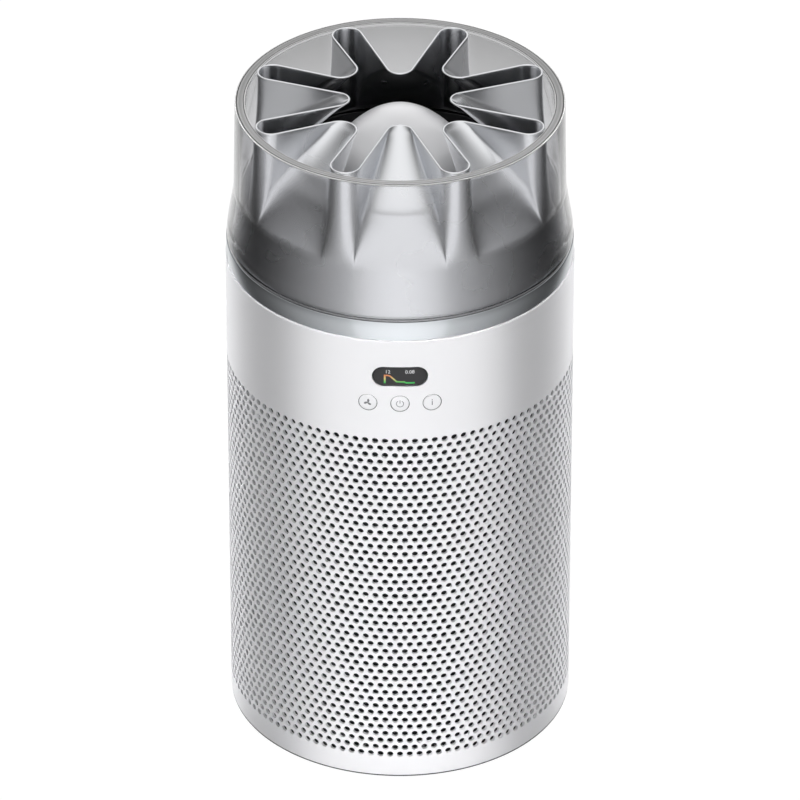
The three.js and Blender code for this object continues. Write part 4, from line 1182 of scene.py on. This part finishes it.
# %% World
# The first two lists go by the angle round the object from its front: one well below the horizon, and
# one just below it. The third goes by the angle off the long lamp that runs overhead from front to
# back. All angles are in degrees, and each has its brightness.
STUDIO = [
    (0, 1.0), (12, 0.97), (20, 0.91), (28, 0.82), (30.3, 0.78), (31.7, 0.60), (38, 0.54), (52, 0.42),
    (60, 0.36), (70, 0.285), (80, 0.205), (90, 0.14), (100, 0.095), (112, 0.07), (122, 0.08),
    (130, 0.14), (138, 0.32), (146, 0.54), (156, 0.68), (180, 0.72),
]
RAISED = [
    (0, 0.92), (10, 0.87), (20, 0.76), (28, 0.62), (32, 0.48), (38, 0.40), (52, 0.28), (60, 0.22),
    (70, 0.155), (80, 0.10), (90, 0.06), (100, 0.035), (112, 0.015), (130, 0.01), (142, 0.04),
    (150, 0.22), (160, 0.44), (180, 0.50),
]
OVERHEAD = [(0, 0.86), (16, 0.82), (30, 0.62), (42, 0.40), (55, 0.22), (70, 0.11), (90, 0.06)]
RAISED_FROM, OVERHEAD_FROM = (-29, -20), (-12, 25)
LEVEL, AMBIENT, SEEN_THROUGH = 1.25, 0.12, 0.45
WHITE = (1.0, 1.0, 1.0, 1.0)


def graded(w, angle, span, stops):
    """The brightness at an angle in radians, from stops in degrees."""
    share = w.over(angle, radians(span))
    return w.ramp(share, [(degrees / span, level) for degrees, level in stops])


def world_light():
    world = bpy.data.worlds.new("studio")
    scene.world = world
    world.use_nodes = True
    world.node_tree.nodes.clear()
    w = Wiring(world.node_tree)
    axis = w.split(w.node("TexCoord").outputs["Generated"])
    turn = w.math("ABSOLUTE", w.math("ARCTAN2", axis["X"], w.times(axis["Y"], -1.0)))
    mirrored, raised = graded(w, turn, 180, STUDIO), graded(w, turn, 180, RAISED)
    high = graded(w, w.math("ARCSINE", w.math("ABSOLUTE", axis["X"])), 90, OVERHEAD)
    rise = w.math("ARCSINE", axis["Z"])
    for above, span in ((raised, RAISED_FROM), (high, OVERHEAD_FROM)):
        start, end = map(radians, span)
        share = w.node("MapRange", {"interpolation_type": "SMOOTHSTEP"}, Value=rise)
        w.wire(share, From_Min=start, From_Max=end)
        mirrored = w.node("Mix", i0=share, i2=mirrored, i3=above)
    mirrored = w.times(mirrored, LEVEL)
    path = w.node("LightPath").outputs
    reflected = w.math("GREATER_THAN", path["Glossy Depth"], 0.5)
    scattered = w.math("GREATER_THAN", path["Diffuse Depth"], 0.5)
    through = w.times(path["Is Transmission Ray"], SEEN_THROUGH)
    strength = w.plus(through, path["Is Camera Ray"])
    for chosen, level in ((scattered, AMBIENT), (reflected, mirrored)):
        strength = w.node("Mix", i0=chosen, i2=strength, i3=level)
    back = w.node("Background", Color=WHITE, Strength=strength)
    w.node("OutputWorld", Surface=back)


world_light()
print("world with", len(scene.world.node_tree.nodes), "nodes")

# %% Floor
FLOOR_SIZE, FLOOR_GREY, FLOOR_SEEN, LIT_SHARE = 6.0, 0.6, 1.1, 0.88
# Seen through the clear cowl the floor carries a painted pool of light: brighter near the purifier, dimmer
# farther out.
POOL_INNER, POOL_OUTER, POOL_LEVEL, FAR_LEVEL = 0.66, 0.90, 0.95, 0.40


def studio_floor():
    material, w, _ = new_material("studio_floor")
    w.tree.nodes.clear()
    plain = w.node("BsdfDiffuse", Color=(FLOOR_GREY, FLOOR_GREY, FLOOR_GREY, 1.0))
    path = w.node("LightPath").outputs
    place = w.node("TexCoord").outputs["Object"]
    reach = w.node("VectorMath", {"operation": "LENGTH"}, i0=place)
    painted_light_pool = w.node("MapRange", Value=reach, From_Min=POOL_INNER, From_Max=POOL_OUTER)
    w.wire(painted_light_pool, To_Min=POOL_LEVEL, To_Max=FAR_LEVEL)
    through = w.times(path["Is Transmission Ray"], painted_light_pool)
    seen = w.plus(through, w.times(path["Is Camera Ray"], FLOOR_SEEN))
    lit = w.node("Emission", Color=WHITE, Strength=seen)
    direct = w.math("MAXIMUM", path["Is Camera Ray"], path["Is Transmission Ray"])
    mixed = w.node("MixShader", i0=w.times(direct, LIT_SHARE), i1=plain, i2=lit)
    reflected = w.math("GREATER_THAN", path["Glossy Depth"], 0.5)
    clear = w.node("BsdfTransparent")
    mixed = w.node("MixShader", i0=reflected, i1=mixed, i2=clear)
    w.node("OutputMaterial", Surface=mixed)
    corners = [(x * FLOOR_SIZE, y * FLOOR_SIZE, 0) for x, y in ((-1, -1), (1, -1), (1, 1), (-1, 1))]
    mesh = bpy.data.meshes.new("floor")
    mesh.from_pydata(corners, [], [(0, 1, 2, 3)])
    mesh.materials.append(material)
    floor = linked("studio_floor", mesh)
    floor.visible_glossy = False
    floor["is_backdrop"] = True


studio_floor()
print("floor", 2 * FLOOR_SIZE, "m across")


# %% Lamps
def facing(made, place, target):
    made.location = place
    made.rotation_mode = "QUATERNION"
    made.rotation_quaternion = (Vector(target) - Vector(place)).to_track_quat("-Z", "Y")


def soft_lamp(name, place, target, size, power, spread=180):
    lamp = bpy.data.lights.new(name, "AREA")
    lamp.shape, lamp.size, lamp.size_y, lamp.energy = "RECTANGLE", *size, power
    lamp.spread = radians(spread)
    made = linked(name, lamp)
    facing(made, place, target)
    made.visible_camera = made.visible_glossy = made.visible_transmission = False
    print(name, power, "W")


centre = (0.0, 0.0, cad_high.z / 2)
soft_lamp("front_beam", (0.0, -0.714, 0.546), (0.0, -0.064, 0.146), size=(0.15, 0.415), power=0.168, spread=7)
for side, name in ((-1, "left"), (1, "right")):
    soft_lamp(name + "_lamp", (side * 1.57, 1.57, 1.1), centre, size=(0.7, 0.7), power=26.0)
    place, target = (side * 0.673, 0.443, 0.4), (side * 0.06, -0.071, 0.2)
    soft_lamp(name + "_beam", place, target, size=(0.05, 0.6), power=0.085, spread=6)
soft_lamp("top_lamp", (0.0, -0.4, 2.3), centre, size=(1.0, 1.0), power=21.0)

# %% [markdown]
# ## Camera
# A long lens from well above keeps the cylinder's sides nearly parallel, and looks down into the star.

# %% Camera
VIEW_LIFT = radians(32.76)
VIEW_DISTANCE, AIM_HEIGHT = 5.1, 0.2283
LENS, SENSOR_WIDTH = 343.8, 36.0
camera_data = bpy.data.cameras.new("camera")
camera_data.sensor_width, camera_data.lens = SENSOR_WIDTH, LENS
camera_data.clip_start, camera_data.clip_end = 0.1, 50.0
camera = linked("camera", camera_data)
aim_point = Vector((0.0, 0.0, AIM_HEIGHT))
toward = Vector((0.0, -cos(VIEW_LIFT), sin(VIEW_LIFT)))
facing(camera, aim_point + toward * VIEW_DISTANCE, aim_point)
scene.camera = camera
scene.view_settings.view_transform = "Standard"
print("camera", VIEW_DISTANCE, "m away, lens", LENS, "mm")

# %% Print the visual box and finish
low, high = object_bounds()
print("visual box", [round(v, 4) for v in (*low, *high)])
